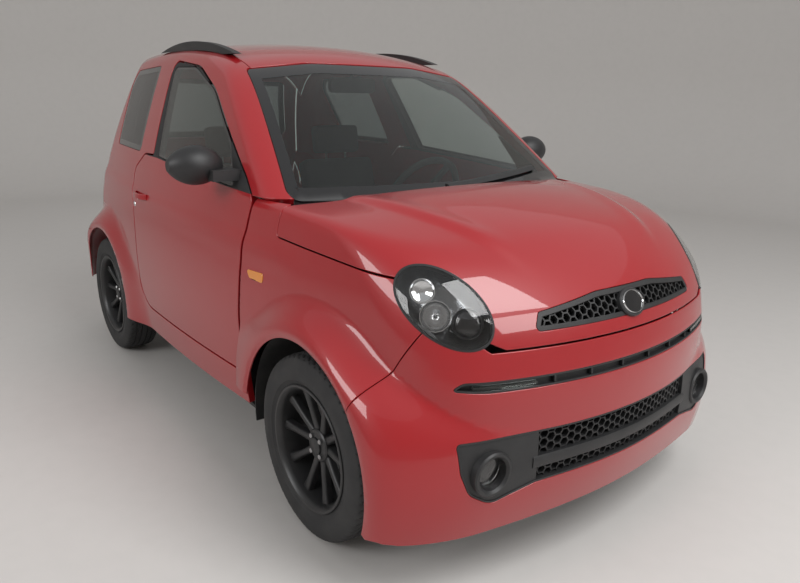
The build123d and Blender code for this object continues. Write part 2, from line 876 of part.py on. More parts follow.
# tailgate and its window
def tailgate_arm(side):
    """Arm from the tailgate's top edge to the hinge pin behind the roof."""
    with BuildPart() as arm:
        with BuildSketch(Plane.XZ.offset(-side * tailgate_hinge_y - 7)):
            with BuildLine():
                Polyline(
                    (tailgate_hinge_x, tailgate_hinge_z + 8),
                    (tailgate_hinge_x - 15, tailgate_hinge_z + 8),
                    (tailgate_hinge_x - 54, tailgate_hinge_z - 12),
                    (tailgate_hinge_x - 54, tailgate_hinge_z - 38),
                    (tailgate_hinge_x - 18, tailgate_hinge_z - 38),
                    (tailgate_hinge_x - 14, tailgate_hinge_z - 8),
                    (tailgate_hinge_x, tailgate_hinge_z - 8),
                    close=True,
                )
            make_face()
            with Locations((tailgate_hinge_x, tailgate_hinge_z)):
                Circle(8)
                Circle(3.5 + pin_clearance, mode=Mode.SUBTRACT)
        extrude(amount=6)
    return arm.part


with BuildPart() as tailgate:
    add(cabin_outer)
    add(end_block(tailgate_outline, -1150 - shut_gap, -shut_gap, direction=-1), mode=Mode.INTERSECT)
    add(cabin_inner, mode=Mode.SUBTRACT)
    add(end_block(rear_window_outline, -1150, direction=-1), mode=Mode.SUBTRACT)
    for side in (1, -1):
        add(tailgate_arm(side))
store("tailgate", tailgate)

with BuildPart() as rear_window:
    add(cabin_outer)
    add(end_block(rear_window_outline, -1160, direction=-1), mode=Mode.INTERSECT)
    add(cabin_skin_inner, mode=Mode.SUBTRACT)
store("rear_window", rear_window)

for name, piece in (
    ("wing", wing_right),
    ("side_frame", side_frame_right),
    ("door", door_right),
    ("door_glass", door_glass_right),
    ("mirror", mirror_right),
):
    store(f"{name}_right", piece)
    store(f"{name}_left", mirrored(piece))

# cabin
with BuildPart() as dashboard:
    with BuildSketch(Plane.XZ):
        with BuildLine():
            FilletPolyline(
                (bulkhead_x, 640),
                (450, 640),
                (370, 790),
                (365, 890),
                (410, 932),
                (680, 928),
                (700, bulkhead_top),
                (bulkhead_x, bulkhead_top),
                radius=(0, 20, 20, 25, 25, 6, 0, 0),
                close=True,
            )
        make_face()
    extrude(amount=dashboard_half_width, both=True)
    with BuildSketch(Plane(column_top, z_dir=column_axis)):
        Circle(24)
    extrude(amount=-160)
store("dashboard", dashboard)

with BuildPart() as steering_wheel:
    with BuildSketch(Plane(wheel_middle, x_dir=(0, 1, 0), z_dir=column_axis)):
        Circle(45)
        with PolarLocations(0, 3, start_angle=180):
            Rectangle(steering_wheel_radius - 6, 26, align=(Align.MIN, Align.CENTER))
    extrude(amount=7, both=True)
    with BuildSketch(Plane(wheel_middle, x_dir=(0, 1, 0), z_dir=column_axis)):
        Circle(20)
    extrude(amount=-column_reach)
    with BuildSketch(Plane(wheel_middle, x_dir=column_axis, z_dir=(0, 1, 0))):
        with Locations((0, steering_wheel_radius)):
            Circle(14)
    revolve(axis=Axis(wheel_middle, column_axis))
store("steering_wheel", steering_wheel)

with BuildPart() as seats:
    with BuildSketch(Plane.XZ):
        with BuildLine():
            FilletPolyline(
                (90, 330),
                (100, 455),
                (-280, 430),
                (-420, 930),
                (-440, 975),
                (-460, 1120),
                (-530, 1110),
                (-510, 960),
                (-540, 930),
                (-420, 300),
                (-340, floor_z + floor_thickness),
                (20, floor_z + floor_thickness),
                radius=(0, 50, 60, 30, 20, 30, 30, 20, 30, 60, 0, 0),
                close=True,
            )
        make_face()
    extrude(amount=seat_width / 2, both=True)
with BuildPart() as seat_pair:
    for side in (1, -1):
        add(seats.part.moved(Location((0, side * seat_centre_y, 0))))
store("seats", seat_pair)

with BuildPart() as rear_view_mirror:
    with BuildSketch(Plane.YZ.offset(55)):
        with Locations((0, 1295)):
            RectangleRounded(210, 58, 20)
    extrude(amount=22)
    with BuildSketch(Plane.XY.offset(1310)):
        with Locations((66, 0)):
            Circle(7)
    extrude(amount=200)
    add(cabin_inner, mode=Mode.INTERSECT)
store("rear_view_mirror", rear_view_mirror)

# running gear
with BuildPart() as engine_block:
    with BuildSketch(Plane.XY.offset(floor_z + floor_thickness)):
        with Locations((930, 0)):
            RectangleRounded(420, 560, 40)
    extrude(amount=400)
store("engine_block", engine_block)

with BuildPart() as radiator:
    with BuildSketch(Plane.XY.offset(floor_z + floor_thickness)):
        with Locations((1285, 0)):
            Rectangle(36, 520)
    extrude(amount=330)
store("radiator", radiator)

kingpin_axis = (Vector(*kingpin_high) - Vector(*kingpin_low)).normalized()


def along_kingpin(z):
    """Point of the left kingpin axis at a height."""
    low = Vector(*kingpin_low)
    return low + kingpin_axis * ((z - low.Z) / kingpin_axis.Z)


def kingpin_rod(radius, z_from, z_to, bore=0.0):
    """Round piece on the left kingpin axis."""
    start = along_kingpin(z_from)
    with BuildPart() as rod:
        with BuildSketch(Plane(start, z_dir=kingpin_axis)):
            Circle(radius)
            if bore:
                Circle(bore, mode=Mode.SUBTRACT)
        extrude(amount=(z_to - z_from) / kingpin_axis.Z)
    return rod.part


with BuildPart() as suspension_left:
    add(kingpin_rod(spring_radius, 572, 736, spring_radius - 8))
    add(kingpin_rod(spring_radius, 734, 738))
    add(kingpin_rod(rod_radius, 510, 752))
    with BuildSketch(Plane.XY.offset(742)):
        with Locations((front_axle_x, kingpin_high[1])):
            Circle(30)
    extrude(amount=tower_top - liner - 742)
    with BuildSketch(Plane.XY.offset(kingpin_low[2] - 8)):
        with BuildLine():
            Polyline(
                (front_axle_x - 22, kingpin_low[1]),
                (front_axle_x - 110, 400),
                (front_axle_x - 110, 330),
                (front_axle_x + 110, 330),
                (front_axle_x + 110, 400),
                (front_axle_x + 22, kingpin_low[1]),
                close=True,
            )
        make_face()
        with Locations(kingpin_low[:2]):
            Circle(22)
        with Locations((front_axle_x, 360)):
            Rectangle(110, 40, mode=Mode.SUBTRACT)
    extrude(amount=16)
    with BuildSketch(Plane.XY.offset(kingpin_low[2])):
        with Locations((front_axle_x - 90, 350), (front_axle_x + 90, 350)):
            Rectangle(30, 30)
    extrude(amount=floor_z - kingpin_low[2])
with BuildPart() as front_suspension:
    add(suspension_left.part)
    mirror(suspension_left.part, about=Plane.XZ)
    with BuildSketch(Plane.XZ):
        with Locations((front_axle_x - 90, floor_z - 20.3)):
            Circle(20)
    extrude(amount=345, both=True)
store("front_suspension", front_suspension)

with BuildPart() as knuckle_left:
    add(kingpin_rod(12, kingpin_low[2] + 10, 230))
    add(kingpin_rod(strut_radius, 225, 560))
    add(kingpin_rod(spring_radius + 2, 564, 571))
    add(kingpin_rod(strut_radius, 556, 566))
    with BuildSketch(Plane.XZ.offset(-knuckle_y - 12)):
        with Locations((front_axle_x, tyre_radius)):
            Circle(42)
    extrude(amount=44)
    add(disc(front_axle_x, tyre_radius, stub_radius, knuckle_y, stub_end_y))
    add(kingpin_rod(rod_radius + pin_clearance, 500, 600), mode=Mode.SUBTRACT)
store("knuckle_left", knuckle_left)
store("knuckle_right", mirrored(knuckle_left))

with BuildPart() as rear_axle:
    add(disc(rear_axle_x, tyre_radius, beam_radius, -rear_beam_end_y, rear_beam_end_y))
    add(disc(rear_axle_x, tyre_radius, stub_radius, -stub_end_y, stub_end_y))
    for side in (1, -1):
        with BuildSketch(Plane.XY.offset(tyre_radius)):
            with Locations((rear_axle_x, side * 400)):
                Circle(spring_radius)
                Circle(spring_radius - 8, mode=Mode.SUBTRACT)
        extrude(amount=boot_floor_z - 10 - tyre_radius)
        with BuildSketch(Plane.XZ.offset(-side * 470)):
            with BuildLine():
                Polyline(
                    (rear_axle_x, tyre_radius - 16),
                    (boot_step_x - 10, tyre_radius - 40),
                    (boot_step_x - 10, tyre_radius),
                    (rear_axle_x, tyre_radius + 16),
                    close=True,
                )
            make_face()
        extrude(amount=18, both=True)
store("rear_axle", rear_axle)

exhaust_route = (
    (front_axle_x - 220, -60, exhaust_z),
    (-520, -60, exhaust_z),
    (-760, -180, exhaust_z),
    (-1160, -180, exhaust_z),
)
with BuildPart() as exhaust:
    with BuildLine():
        FilletPolyline(*exhaust_route, radius=150)
    with BuildSketch(Plane(exhaust_route[0], z_dir=(-1, 0, 0))):
        Circle(exhaust_radius)
    sweep()
    with BuildSketch(Plane((-1150, -230, exhaust_z + 60), x_dir=(0, 1, 0), z_dir=(-1, 0, 0))):
        SlotOverall(260, 120)
    extrude(amount=220)
    with BuildSketch(Plane((-1360, -300, exhaust_z + 50), z_dir=(-1, 0, 0))):
        Circle(exhaust_radius + 2)
    extrude(amount=tailpipe_length)
    with BuildSketch(Plane((-1380, -300, exhaust_z + 50), z_dir=(-1, 0, 0))):
        Circle(exhaust_radius - 1)
    extrude(amount=tailpipe_length, mode=Mode.SUBTRACT)
store("exhaust", exhaust)


# wheels, drawn at the origin with the axle along Y and the outer side at +Y
def rim_at(axle_x, side):
    """Alloy rim of ten slim spokes with its hub and brake disc."""
    inner_face = -rim_width / 2
    with BuildPart() as rim:
        with BuildSketch(Plane.XY):
            with BuildLine():
                Polyline(
                    (rim_radius, inner_face),
                    (rim_radius + 12, inner_face),
                    (rim_radius + 12, inner_face - 5),
                    (rim_radius - 6, inner_face - 5),
                    (rim_radius - 10, inner_face + 20),
                    (rim_radius - 18, inner_face + 40),
                    (rim_radius - 18, 40),
                    (rim_radius - 6, rim_width / 2 + 5),
                    (rim_radius + 12, rim_width / 2 + 5),
                    (rim_radius + 12, rim_width / 2),
                    (rim_radius, rim_width / 2),
                    (rim_radius, 44),
                    (rim_radius - 12, 36),
                    (rim_radius - 12, inner_face + 38),
                    (rim_radius, inner_face + 16),
                    close=True,
                )
            make_face()
        revolve(axis=Axis.Y)
        with BuildSketch(Plane.XY):
            with BuildLine():
                Polyline(
                    (0, hub_inner_y),
                    (hub_radius, hub_inner_y),
                    (hub_radius, 26),
                    (hub_radius - 14, 40),
                    (0, 42),
                    close=True,
                )
            make_face()
            with BuildLine():
                Polyline(
                    (hub_radius - 4, disc_y - 5),
                    (brake_disc_radius, disc_y - 5),
                    (brake_disc_radius, disc_y + 5),
                    (hub_radius - 4, disc_y + 5),
                    close=True,
                )
            make_face()
        revolve(axis=Axis.Y)
        with BuildSketch(Plane.XZ.offset(-26)):
            with PolarLocations(0, spoke_count):
                with BuildLine():
                    Polyline(
                        (hub_radius - 16, 14), (rim_radius - 10, 9), (rim_radius - 10, -9), (hub_radius - 16, -14),
                        close=True,
                    )
                make_face()
        extrude(amount=-16)
        with BuildSketch(Plane.XZ.offset(-hub_inner_y)):
            Circle(stub_radius + pin_clearance)
        extrude(amount=-(stub_end_y - wheel_centre_y - hub_inner_y + 1), mode=Mode.SUBTRACT)
    return rim.part


def tyre_section():
    """Tyre profile on the XY plane, from the bead seats to the tread."""
    half = tyre_width / 2
    with BuildSketch(Plane.XY) as section:
        with BuildLine():
            Line((rim_radius, rim_width / 2), (rim_radius, -rim_width / 2))
            Line((rim_radius, -rim_width / 2), (rim_radius + 14, -rim_width / 2))
            ThreePointArc(
                (rim_radius + 14, -rim_width / 2), (rim_radius + 50, -half), (tyre_radius - 22, -half + 6)
            )
            ThreePointArc(
                (tyre_radius - 22, -half + 6), (tyre_radius - 8, -half + 12), (tyre_radius - 3, -half + 26)
            )
            ThreePointArc((tyre_radius - 3, -half + 26), (tyre_radius, 0), (tyre_radius - 3, half - 26))
            ThreePointArc(
                (tyre_radius - 3, half - 26), (tyre_radius - 8, half - 12), (tyre_radius - 22, half - 6)
            )
            ThreePointArc(
                (tyre_radius - 22, half - 6), (rim_radius + 50, half), (rim_radius + 14, rim_width / 2)
            )
            Line((rim_radius + 14, rim_width / 2), (rim_radius, rim_width / 2))
        make_face()
    return section.sketch


with BuildPart() as tyre:
    add(tyre_section())
    revolve(axis=Axis.Y)

rim = rim_at(0, 1)
for end, axle_x in (("front", front_axle_x), ("rear", rear_axle_x)):
    for hand, side in (("left", 1), ("right", -1)):
        place = Location((axle_x, side * wheel_centre_y, tyre_radius))
        for kind, shape in (("tyre", tyre.part), ("rim", rim)):
            with BuildPart() as wheel_piece:
                if side == 1:
                    add(shape.moved(place))
                else:
                    add(mirror(shape, about=Plane.XZ, mode=Mode.PRIVATE).moved(place))
            store(f"{kind}_{end}_{hand}", wheel_piece)

for name, piece in pieces.items():
    export_step(piece.part, f"parts/{name}.step")
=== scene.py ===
import json
import math

import bmesh
import bpy
import numpy as np
from mathutils import Matrix, Vector
from mathutils.geometry import delaunay_2d_cdt


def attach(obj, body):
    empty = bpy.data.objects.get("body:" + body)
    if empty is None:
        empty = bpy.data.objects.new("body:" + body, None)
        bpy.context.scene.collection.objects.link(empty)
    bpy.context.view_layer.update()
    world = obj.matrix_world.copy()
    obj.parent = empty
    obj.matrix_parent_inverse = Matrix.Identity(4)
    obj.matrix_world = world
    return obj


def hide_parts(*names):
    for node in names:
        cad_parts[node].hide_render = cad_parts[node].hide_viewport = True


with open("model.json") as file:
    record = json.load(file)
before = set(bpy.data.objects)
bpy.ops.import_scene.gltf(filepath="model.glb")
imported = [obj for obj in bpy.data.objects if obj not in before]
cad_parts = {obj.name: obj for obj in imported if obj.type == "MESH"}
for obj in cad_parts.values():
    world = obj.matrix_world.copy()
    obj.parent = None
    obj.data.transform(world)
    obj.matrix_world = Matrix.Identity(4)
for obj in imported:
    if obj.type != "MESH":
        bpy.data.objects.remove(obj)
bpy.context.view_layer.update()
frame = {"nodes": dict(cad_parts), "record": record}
bpy.context.scene.view_settings.view_transform = "Standard"

# body form, millimetres: plan outlines of arcs by height, crowns by distance along the car
body = {
    "lower": [  # height, nose x, half width, front corner, tail x, rear corner
        (160, 1432, 692, 200, -1440, 180),
        (300, 1470, 714, 230, -1474, 200),
        (460, 1480, 728, 240, -1480, 220),
        (620, 1472, 734, 250, -1474, 240),
        (780, 1413, 728, 270, -1446, 260),
        (950, 1200, 697, 300, -1376, 300),
        (1000, 1110, 684, 300, -1356, 300),
    ],
    "upper": [  # height, screen x, screen radius, half width, front corner, tail x, rear corner
        (900, 838, 1680, 712, 100, -1394, 300),
        (950, 770, 1700, 696, 100, -1376, 300),
        (1090, 577, 1755, 648, 100, -1330, 270),
        (1240, 363, 1820, 590, 100, -1268, 240),
        (1390, 139, 1900, 528, 100, -1192, 220),
        (1480, 0, 1950, 496, 100, -1150, 200),
    ],
    "roof": [  # x, height on the centre line, height at the edge
        (-1500, 1330, 1210),
        (-1320, 1376, 1256),
        (-1000, 1438, 1316),
        (-700, 1460, 1336),
        (-300, 1460, 1336),
        (0, 1426, 1302),
        (145, 1386, 1264),
        (320, 1322, 1200),
        (820, 1150, 1028),
    ],
    "bonnet": [
        (380, 990, 953),
        (700, 980, 934),
        (900, 978, 913),
        (1060, 954, 884),
        (1200, 915, 843),
        (1330, 855, 783),
        (1420, 790, 718),
        (1520, 705, 633),
    ],
    "crownEdge": 800,
    "noseRadius": 1360,
    "tailRadius": 1300,
    "sideRadius": 9000,
    "sideCentre": -100,
    "roofRounding": 70,
    "bonnetRounding": 46,
    "flareCrest": 745,
    "flareReach": 452,
    "belt": 950,
    "creaseHeight": 3.2,
}
wheelHeight = 278.5
archRadius = 332
axles = {"front": 900, "rear": -1000}


def throughPoints(rows):
    # smooth curves through table rows, the first column is the key
    table = np.array(sorted(rows), float)
    keys, values = table[:, 0], table[:, 1:]
    steps = np.diff(keys)[:, None]
    slopes = np.diff(values, axis=0) / steps
    middle = (slopes[:-1] * steps[1:] + slopes[1:] * steps[:-1]) / (steps[1:] + steps[:-1])
    tangents = np.vstack([slopes[:1], middle, slopes[-1:]])

    def at(where):
        where = np.asarray(where, float)
        row = np.clip(np.searchsorted(keys, where) - 1, 0, len(keys) - 2)
        width = (keys[row + 1] - keys[row])[..., None]
        t = (where[..., None] - keys[row][..., None]) / width
        inside = np.clip(t, 0, 1)
        beyond = t - inside
        a, b = values[row], values[row + 1]
        ta, tb = tangents[row] * width, tangents[row + 1] * width
        cubic = (
            a * (2 * inside**3 - 3 * inside**2 + 1)
            + ta * (inside**3 - 2 * inside**2 + inside)
            + b * (3 * inside**2 - 2 * inside**3)
            + tb * (inside**3 - inside**2)
        )
        edge = np.where(beyond < 0, ta, tb)
        return np.moveaxis(cubic + beyond * edge, -1, 0)

    return at


lowerAt = throughPoints(body["lower"])
upperAt = throughPoints(body["upper"])
roofAt = throughPoints(body["roof"])
bonnetAt = throughPoints(body["bonnet"])


def smoothStep(low, high, value):
    t = np.clip((value - low) / (high - low), 0, 1)
    return t * t * (3 - 2 * t)


def smoothMax(a, b, reach):
    gap = np.maximum(reach - np.abs(a - b), 0) / reach
    return np.maximum(a, b) + gap**3 * reach / 6


def planDistance(x, y, noseX, noseR, half, frontCorner, tailX, rearCorner):
    # signed distance to the plan outline of arcs, positive outside
    y = np.abs(y)
    sideR, sideX = body["sideRadius"], body["sideCentre"]
    sideY = half - sideR
    noseD = np.hypot(x - (noseX - noseR), y) - noseR
    tailD = np.hypot(x - (tailX + body["tailRadius"]), y) - body["tailRadius"]
    noseD, tailD = np.where(x > 0, noseD, -900.0), np.where(x < 0, tailD, -900.0)
    sideD = np.hypot(x - sideX, y - sideY) - sideR
    result = np.maximum(np.maximum(noseD, tailD), sideD)
    for sign, endX, endR, corner in (
        (1, noseX, noseR, frontCorner),
        (-1, tailX, body["tailRadius"], rearCorner),
    ):
        endCentre = endX - sign * endR
        bx, by = sideX - endCentre, sideY
        apart = np.hypot(bx, by)
        toEnd, toSide = endR - corner, sideR - corner
        along = (toEnd**2 - toSide**2 + apart**2) / (2 * apart)
        across = np.sqrt(np.maximum(toEnd**2 - along**2, 0))
        ux, uy = bx / apart, by / apart
        cx = endCentre + ux * along - sign * uy * across
        cy = uy * along + sign * ux * across
        px, py = x - cx, y - cy
        fromEnd = sign * ((cx - endCentre) * py - cy * px)
        fromSide = sign * (px * (cy - sideY) - py * (cx - sideX))
        inCorner = (fromEnd >= 0) & (fromSide >= 0)
        result = np.where(inCorner, np.hypot(px, py) - corner, result)
    return result


def crownDistance(x, y, z, table, rise=0.0):
    def height(where):
        centre, edge = table(where)
        sag = centre - edge
        radius = (body["crownEdge"] ** 2 + sag**2) / (2 * sag)
        return centre - radius + np.sqrt(radius**2 - np.minimum(np.abs(y), 1200) ** 2)

    slope = (height(x + 2) - height(x - 2)) / 4
    across = np.abs(y) / 2600
    return (z - height(x) - rise) / np.sqrt(1 + slope**2 + across**2)


def flareLift(x, z, half, axleX):
    # how far the side swells round a wheel opening
    reach = np.hypot(x - axleX, z - wheelHeight)
    plain = half - (x - body["sideCentre"]) ** 2 / (2 * body["sideRadius"])
    ahead = smoothStep(150, 320, np.abs(x - axleX)) * (1 - smoothStep(420, 640, z))
    fadeEnd = body["flareReach"] + 120 * ahead
    share = 1 - smoothStep(archRadius + 18, fadeEnd, reach)
    lip = 5 * smoothStep(archRadius + 16, archRadius, reach)
    return np.maximum((body["flareCrest"] - plain) * share - lip, 0)


def bonnetRise(x, y):
    # raised middle of the bonnet between two soft ridges
    y = np.abs(y)
    edge = 470 - 175 * np.clip((x - 700) / 620, 0, 1.2) ** 1.6
    fade = smoothStep(640, 800, x) * (1 - smoothStep(1210, 1360, x))
    return fade * (9 * (1 - smoothStep(edge - 26, edge + 20, y)) + 4 * np.exp(-(((y - edge + 30) / 40) ** 2)))


def creaseRise(x, z):
    # a soft shelf along the doors and rear quarters
    line = 816 + 0.031 * (485 - x)
    above, below = smoothStep(0, 46, z - line), smoothStep(-70, 0, z - line)
    fade = smoothStep(-1360, -1200, x) * (1 - smoothStep(700, 840, x))
    return fade * body["creaseHeight"] * (below - 1.6 * above)


def noseForm(p):
    x, y, z = p.T
    nose, half, frontCorner, tail, rearCorner = lowerAt(z)
    side = planDistance(x, y, nose, body["noseRadius"], half, frontCorner, tail, rearCorner)
    side = side - creaseRise(x, z) - flareLift(x, z, half, axles["front"])
    top = crownDistance(x, y, z, bonnetAt, bonnetRise(x, y))
    return smoothMax(side, top, body["bonnetRounding"])


def cabinForm(p):
    x, y, z = p.T
    nose, half, frontCorner, tail, rearCorner = lowerAt(z)
    low = planDistance(x, y, nose, body["noseRadius"], half, frontCorner, tail, rearCorner)
    low = low - creaseRise(x, z) - flareLift(x, z, half, axles["rear"])
    screen, screenR, half, frontCorner, tail, rearCorner = upperAt(z)
    high = planDistance(x, y, screen, screenR, half, frontCorner, tail, rearCorner)
    belt = smoothStep(body["belt"] - 14, body["belt"] + 14, z)
    side = low * (1 - belt) + high * belt
    return smoothMax(side, crownDistance(x, y, z, roofAt), body["roofRounding"])


def normalsOf(form, points):
    grad = np.stack(
        [form(points + step) - form(points - step) for step in np.eye(3) * 0.6], axis=1
    )
    return grad / np.maximum(np.linalg.norm(grad, axis=1), 1e-9)[:, None]


def hitForm(form, starts, ways, far=2600.0):
    # outermost point of the form along each ray from inside
    low, high = np.zeros(len(starts)), np.full(len(starts), far)
    for _ in range(25):
        middle = (low + high) / 2
        inside = form(starts + ways * middle[:, None]) < 0
        low, high = np.where(inside, middle, low), np.where(inside, high, middle)
    return starts + ways * low[:, None]


class Window:
    # a flat drawing plane from which points are cast on to a form
    def __init__(self, form, centre, facing, up=(0, 0, 1), parallel=False, spread=1.8):
        self.form, self.parallel, self.spread = form, parallel, spread
        self.centre = np.array(centre, float)
        self.facing = np.array(facing, float) / np.linalg.norm(facing)
        right = np.cross(up, self.facing)
        self.right = right / np.linalg.norm(right)
        self.up = np.cross(self.facing, self.right)

    def flat(self, points):
        away = np.asarray(points, float) - self.centre
        u, v, w = away @ self.right, away @ self.up, away @ self.facing
        if self.parallel:
            return np.stack([u, v], 1)
        return np.stack([u, v], 1) / np.maximum(w, 60)[:, None] * 1000

    def lines(self, run):
        # the runs of a curve that the window can see
        away = run - self.centre
        seen = (away @ self.facing > 0.3 * np.linalg.norm(away, axis=1)) | self.parallel
        edges = np.flatnonzero(np.diff(seen.astype(int))) + 1
        parts = zip(np.split(run, edges), np.split(seen, edges))
        return [self.flat(part) for part, ok in parts if ok[0] and len(part) > 1]

    def cast(self, flat):
        if self.parallel:
            starts = self.centre + flat[:, :1] * self.right + flat[:, 1:2] * self.up
            return hitForm(self.form, starts, np.tile(self.facing, (len(flat), 1)))
        ways = self.facing + flat[:, :1] / 1000 * self.right + flat[:, 1:2] / 1000 * self.up
        ways /= np.linalg.norm(ways, axis=1)[:, None]
        return hitForm(self.form, np.tile(self.centre, (len(flat), 1)), ways)


def roundedLoop(rows, step=7.0):
    # closed outline of (u, v, corner radius) rows, resampled evenly
    rows = [tuple(row) + (0,) * (3 - len(row)) for row in rows]
    points = []
    for before, here, after in zip([rows[-1]] + rows[:-1], rows, rows[1:] + rows[:1]):
        p, q, r = (np.array(row[:2], float) for row in (before, here, after))
        radius = here[2]
        if radius <= 0:
            points.append(q)
            continue
        a, b = (p - q) / np.linalg.norm(p - q), (r - q) / np.linalg.norm(r - q)
        bend = math.acos(np.clip(a @ b, -1, 1))
        room = 0.49 * min(np.linalg.norm(p - q), np.linalg.norm(r - q))
        cut = min(radius / math.tan(bend / 2), room) if bend < math.pi - 1e-3 else 0
        if cut == 0:
            points.append(q)
            continue
        radius = cut * math.tan(bend / 2)
        centre = q + (a + b) / np.linalg.norm(a + b) * radius / math.sin(bend / 2)
        start, end = q + a * cut - centre, q + b * cut - centre
        turn = math.atan2(start[0] * end[1] - start[1] * end[0], start @ end)
        count = max(3, int(abs(turn) / 0.16), int(abs(turn) * radius / step))
        for k in range(count + 1):
            c, s = math.cos(turn * k / count), math.sin(turn * k / count)
            points.append(centre + (start[0] * c - start[1] * s, start[0] * s + start[1] * c))
    dense = []
    for p, q in zip(points, points[1:] + points[:1]):
        count = max(1, int(round(np.linalg.norm(q - p) / step)))
        dense += [p + (q - p) * k / count for k in range(count) if np.linalg.norm(q - p) > 1e-6]
    return np.array(dense)


def grown(loop, amount):
    # the loop moved outwards along its own normals
    if amount == 0:
        return loop
    ahead, behind = np.roll(loop, -1, 0) - loop, loop - np.roll(loop, 1, 0)
    ahead /= np.maximum(np.linalg.norm(ahead, axis=1), 1e-9)[:, None]
    behind /= np.maximum(np.linalg.norm(behind, axis=1), 1e-9)[:, None]
    along = ahead + behind
    along /= np.maximum(np.linalg.norm(along, axis=1), 1e-9)[:, None]
    sharp = np.maximum(np.abs((ahead * along).sum(1)), 0.35)[:, None]
    out = np.stack([along[:, 1], -along[:, 0]], 1)
    area = np.sum(loop[:, 0] * np.roll(loop[:, 1], -1) - np.roll(loop[:, 0], -1) * loop[:, 1])
    return loop + out / sharp * amount * (1 if area > 0 else -1)


def insideLoop(loop, points):
    x, y = points.T
    inside = np.zeros(len(points), bool)
    for (ax, ay), (bx, by) in zip(loop, np.roll(loop, -1, 0)):
        if ay == by:
            continue
        crosses = (ay > y) != (by > y)
        inside ^= crosses & (x < (bx - ax) * (y - ay) / (by - ay) + ax)
    return inside


class Cutter:
    # a closed outline drawn on one view of the car; keeps what is inside it, or outside it
    def __init__(self, view, rows, grow=0.0, keep=True, sides=(-1,), x=(-9999, 9999), ready=False):
        self.view, self.keep, self.sides, self.x = view, keep, sides, x
        self.loop = grown(np.array(rows, float) if ready else roundedLoop(rows), grow)

    def raysOf(self, side):
        u, v = self.loop.T
        zero = np.zeros(len(u))
        if self.view == "lamp":
            middle, longWay, wideWay, facing = lampFrame(side)
            flat = self.loop[:, :1] * longWay + self.loop[:, 1:] * wideWay
            return middle + flat - facing * 220, facing, 700.0
        if self.view == "side":
            return np.stack([u, zero, v], 1), (0, side, 0), 1500.0
        if self.view == "top":
            return np.stack([u, v, zero + 500], 1), (0, 0, 1), 1500.0
        behind = self.x[1] < 0
        return np.stack([zero - 500 * behind, u, v], 1), (-1 if behind else 1, 0, 0), 2500.0

    def curves(self, form):
        # the outline's runs that lie on the form, as 3D points
        runs = []
        for side in self.sides if self.view in ("side", "lamp") else (0,):
            starts, way, far = self.raysOf(side)
            within = form(starts) < 0
            hits = hitForm(form, starts, np.tile(np.array(way, float), (len(starts), 1)), far)
            within &= (hits[:, 0] > self.x[0] - 60) & (hits[:, 0] < self.x[1] + 60)
            if within.all():
                runs.append(np.vstack([hits, hits[:1]]))
                continue
            run, first = [], int(np.argmin(within))
            for k in range(len(hits) + 1):
                i = (first + k) % len(hits)
                if within[i] and k < len(hits):
                    run.append(hits[i])
                elif run:
                    runs.append(np.array(run))
                    run = []
        return [run for run in runs if len(run) > 1]

    def holds(self, points):
        inside = np.zeros(len(points), bool)
        for side in self.sides if self.view in ("side", "lamp") else (0,):
            if self.view == "lamp":
                middle, longWay, wideWay, facing = lampFrame(side)
                away = points - middle
                flat = np.stack([away @ longWay, away @ wideWay], 1)
                inside |= insideLoop(self.loop, flat) & (np.abs(away @ facing) < 300)
            else:
                flat = points[:, {"side": (0, 2), "front": (1, 2), "top": (0, 1)}[self.view]]
                inside |= insideLoop(self.loop, flat) & (points[:, 1] * side >= 0)
        inside &= (points[:, 0] > self.x[0]) & (points[:, 0] < self.x[1])
        return inside == self.keep


def hole(view, rows, grow=0.0, **options):
    return Cutter(view, rows, grow, keep=False, **options)


headlight = {
    "middle": (1277, -542, 779),
    "facing": (0.718, -0.618, 0.319),
    "long": (-0.672, -0.497, 0.549),
    "halfAxes": (138, 78),
    "seal": 5,
}
lampProfiles = {  # radius and height rows
    "reflector": [
        (38, -34), (36, -44), (28, -60), (16, -70), (3, -74), (3, -77), (18, -73), (31, -62), (39, -44), (
            40, -34,
        ),
    ],
    "bulb": [(6, -72), (6, -48), (4.5, -44), (1, -42), (1, -72)],
    "projector": [(36, -26), (37, -24), (39, -26), (39, -70), (34, -70), (34, -34)],
    "projectorFace": [(34, -33), (24, -28), (12, -25), (0.5, -24), (0.5, -36), (34, -36)],
    "indicator": [(30, -40), (26, -54), (12, -62), (1, -64), (1, -66), (14, -65), (29, -55), (32, -40)],
}


def lampFrame(side):
    mirror = np.array([1, -side, 1])
    facing = np.array(headlight["facing"]) / np.linalg.norm(headlight["facing"])
    longWay = np.array(headlight["long"]) / np.linalg.norm(headlight["long"])
    longWay = longWay - facing * (longWay @ facing)
    longWay /= np.linalg.norm(longWay)
    wide = np.cross(facing, longWay)
    return [np.array(headlight["middle"]) * mirror, longWay * mirror, wide * mirror, facing * mirror]


def ellipseRows(a, b, count=72):
    turn = np.linspace(0, 2 * np.pi, count, endpoint=False)
    return np.stack([a * np.cos(turn), b * np.sin(turn)], 1)


def circleRows(x, z, radius, count=120):
    turn = np.linspace(0, 2 * np.pi, count, endpoint=False)
    return np.stack([x + radius * np.cos(turn), z + radius * np.sin(turn)], 1)


def addMesh(name, points, faces, materials, normals=None, indices=None, smooth=True):
    mesh = bpy.data.meshes.new(name)
    mesh.from_pydata([tuple(p) for p in np.asarray(points, float) / 1000], [], [tuple(f) for f in faces])
    for material in materials:
        mesh.materials.append(material)
    if indices is not None:
        mesh.polygons.foreach_set("material_index", np.asarray(indices, np.int32))
    mesh.polygons.foreach_set("use_smooth", np.full(len(mesh.polygons), smooth))
    mesh.update()
    if normals is not None:
        mesh.normals_split_custom_set_from_vertices([tuple(n) for n in normals])
    thing = bpy.data.objects.new(name, mesh)
    bpy.context.scene.collection.objects.link(thing)
    return thing


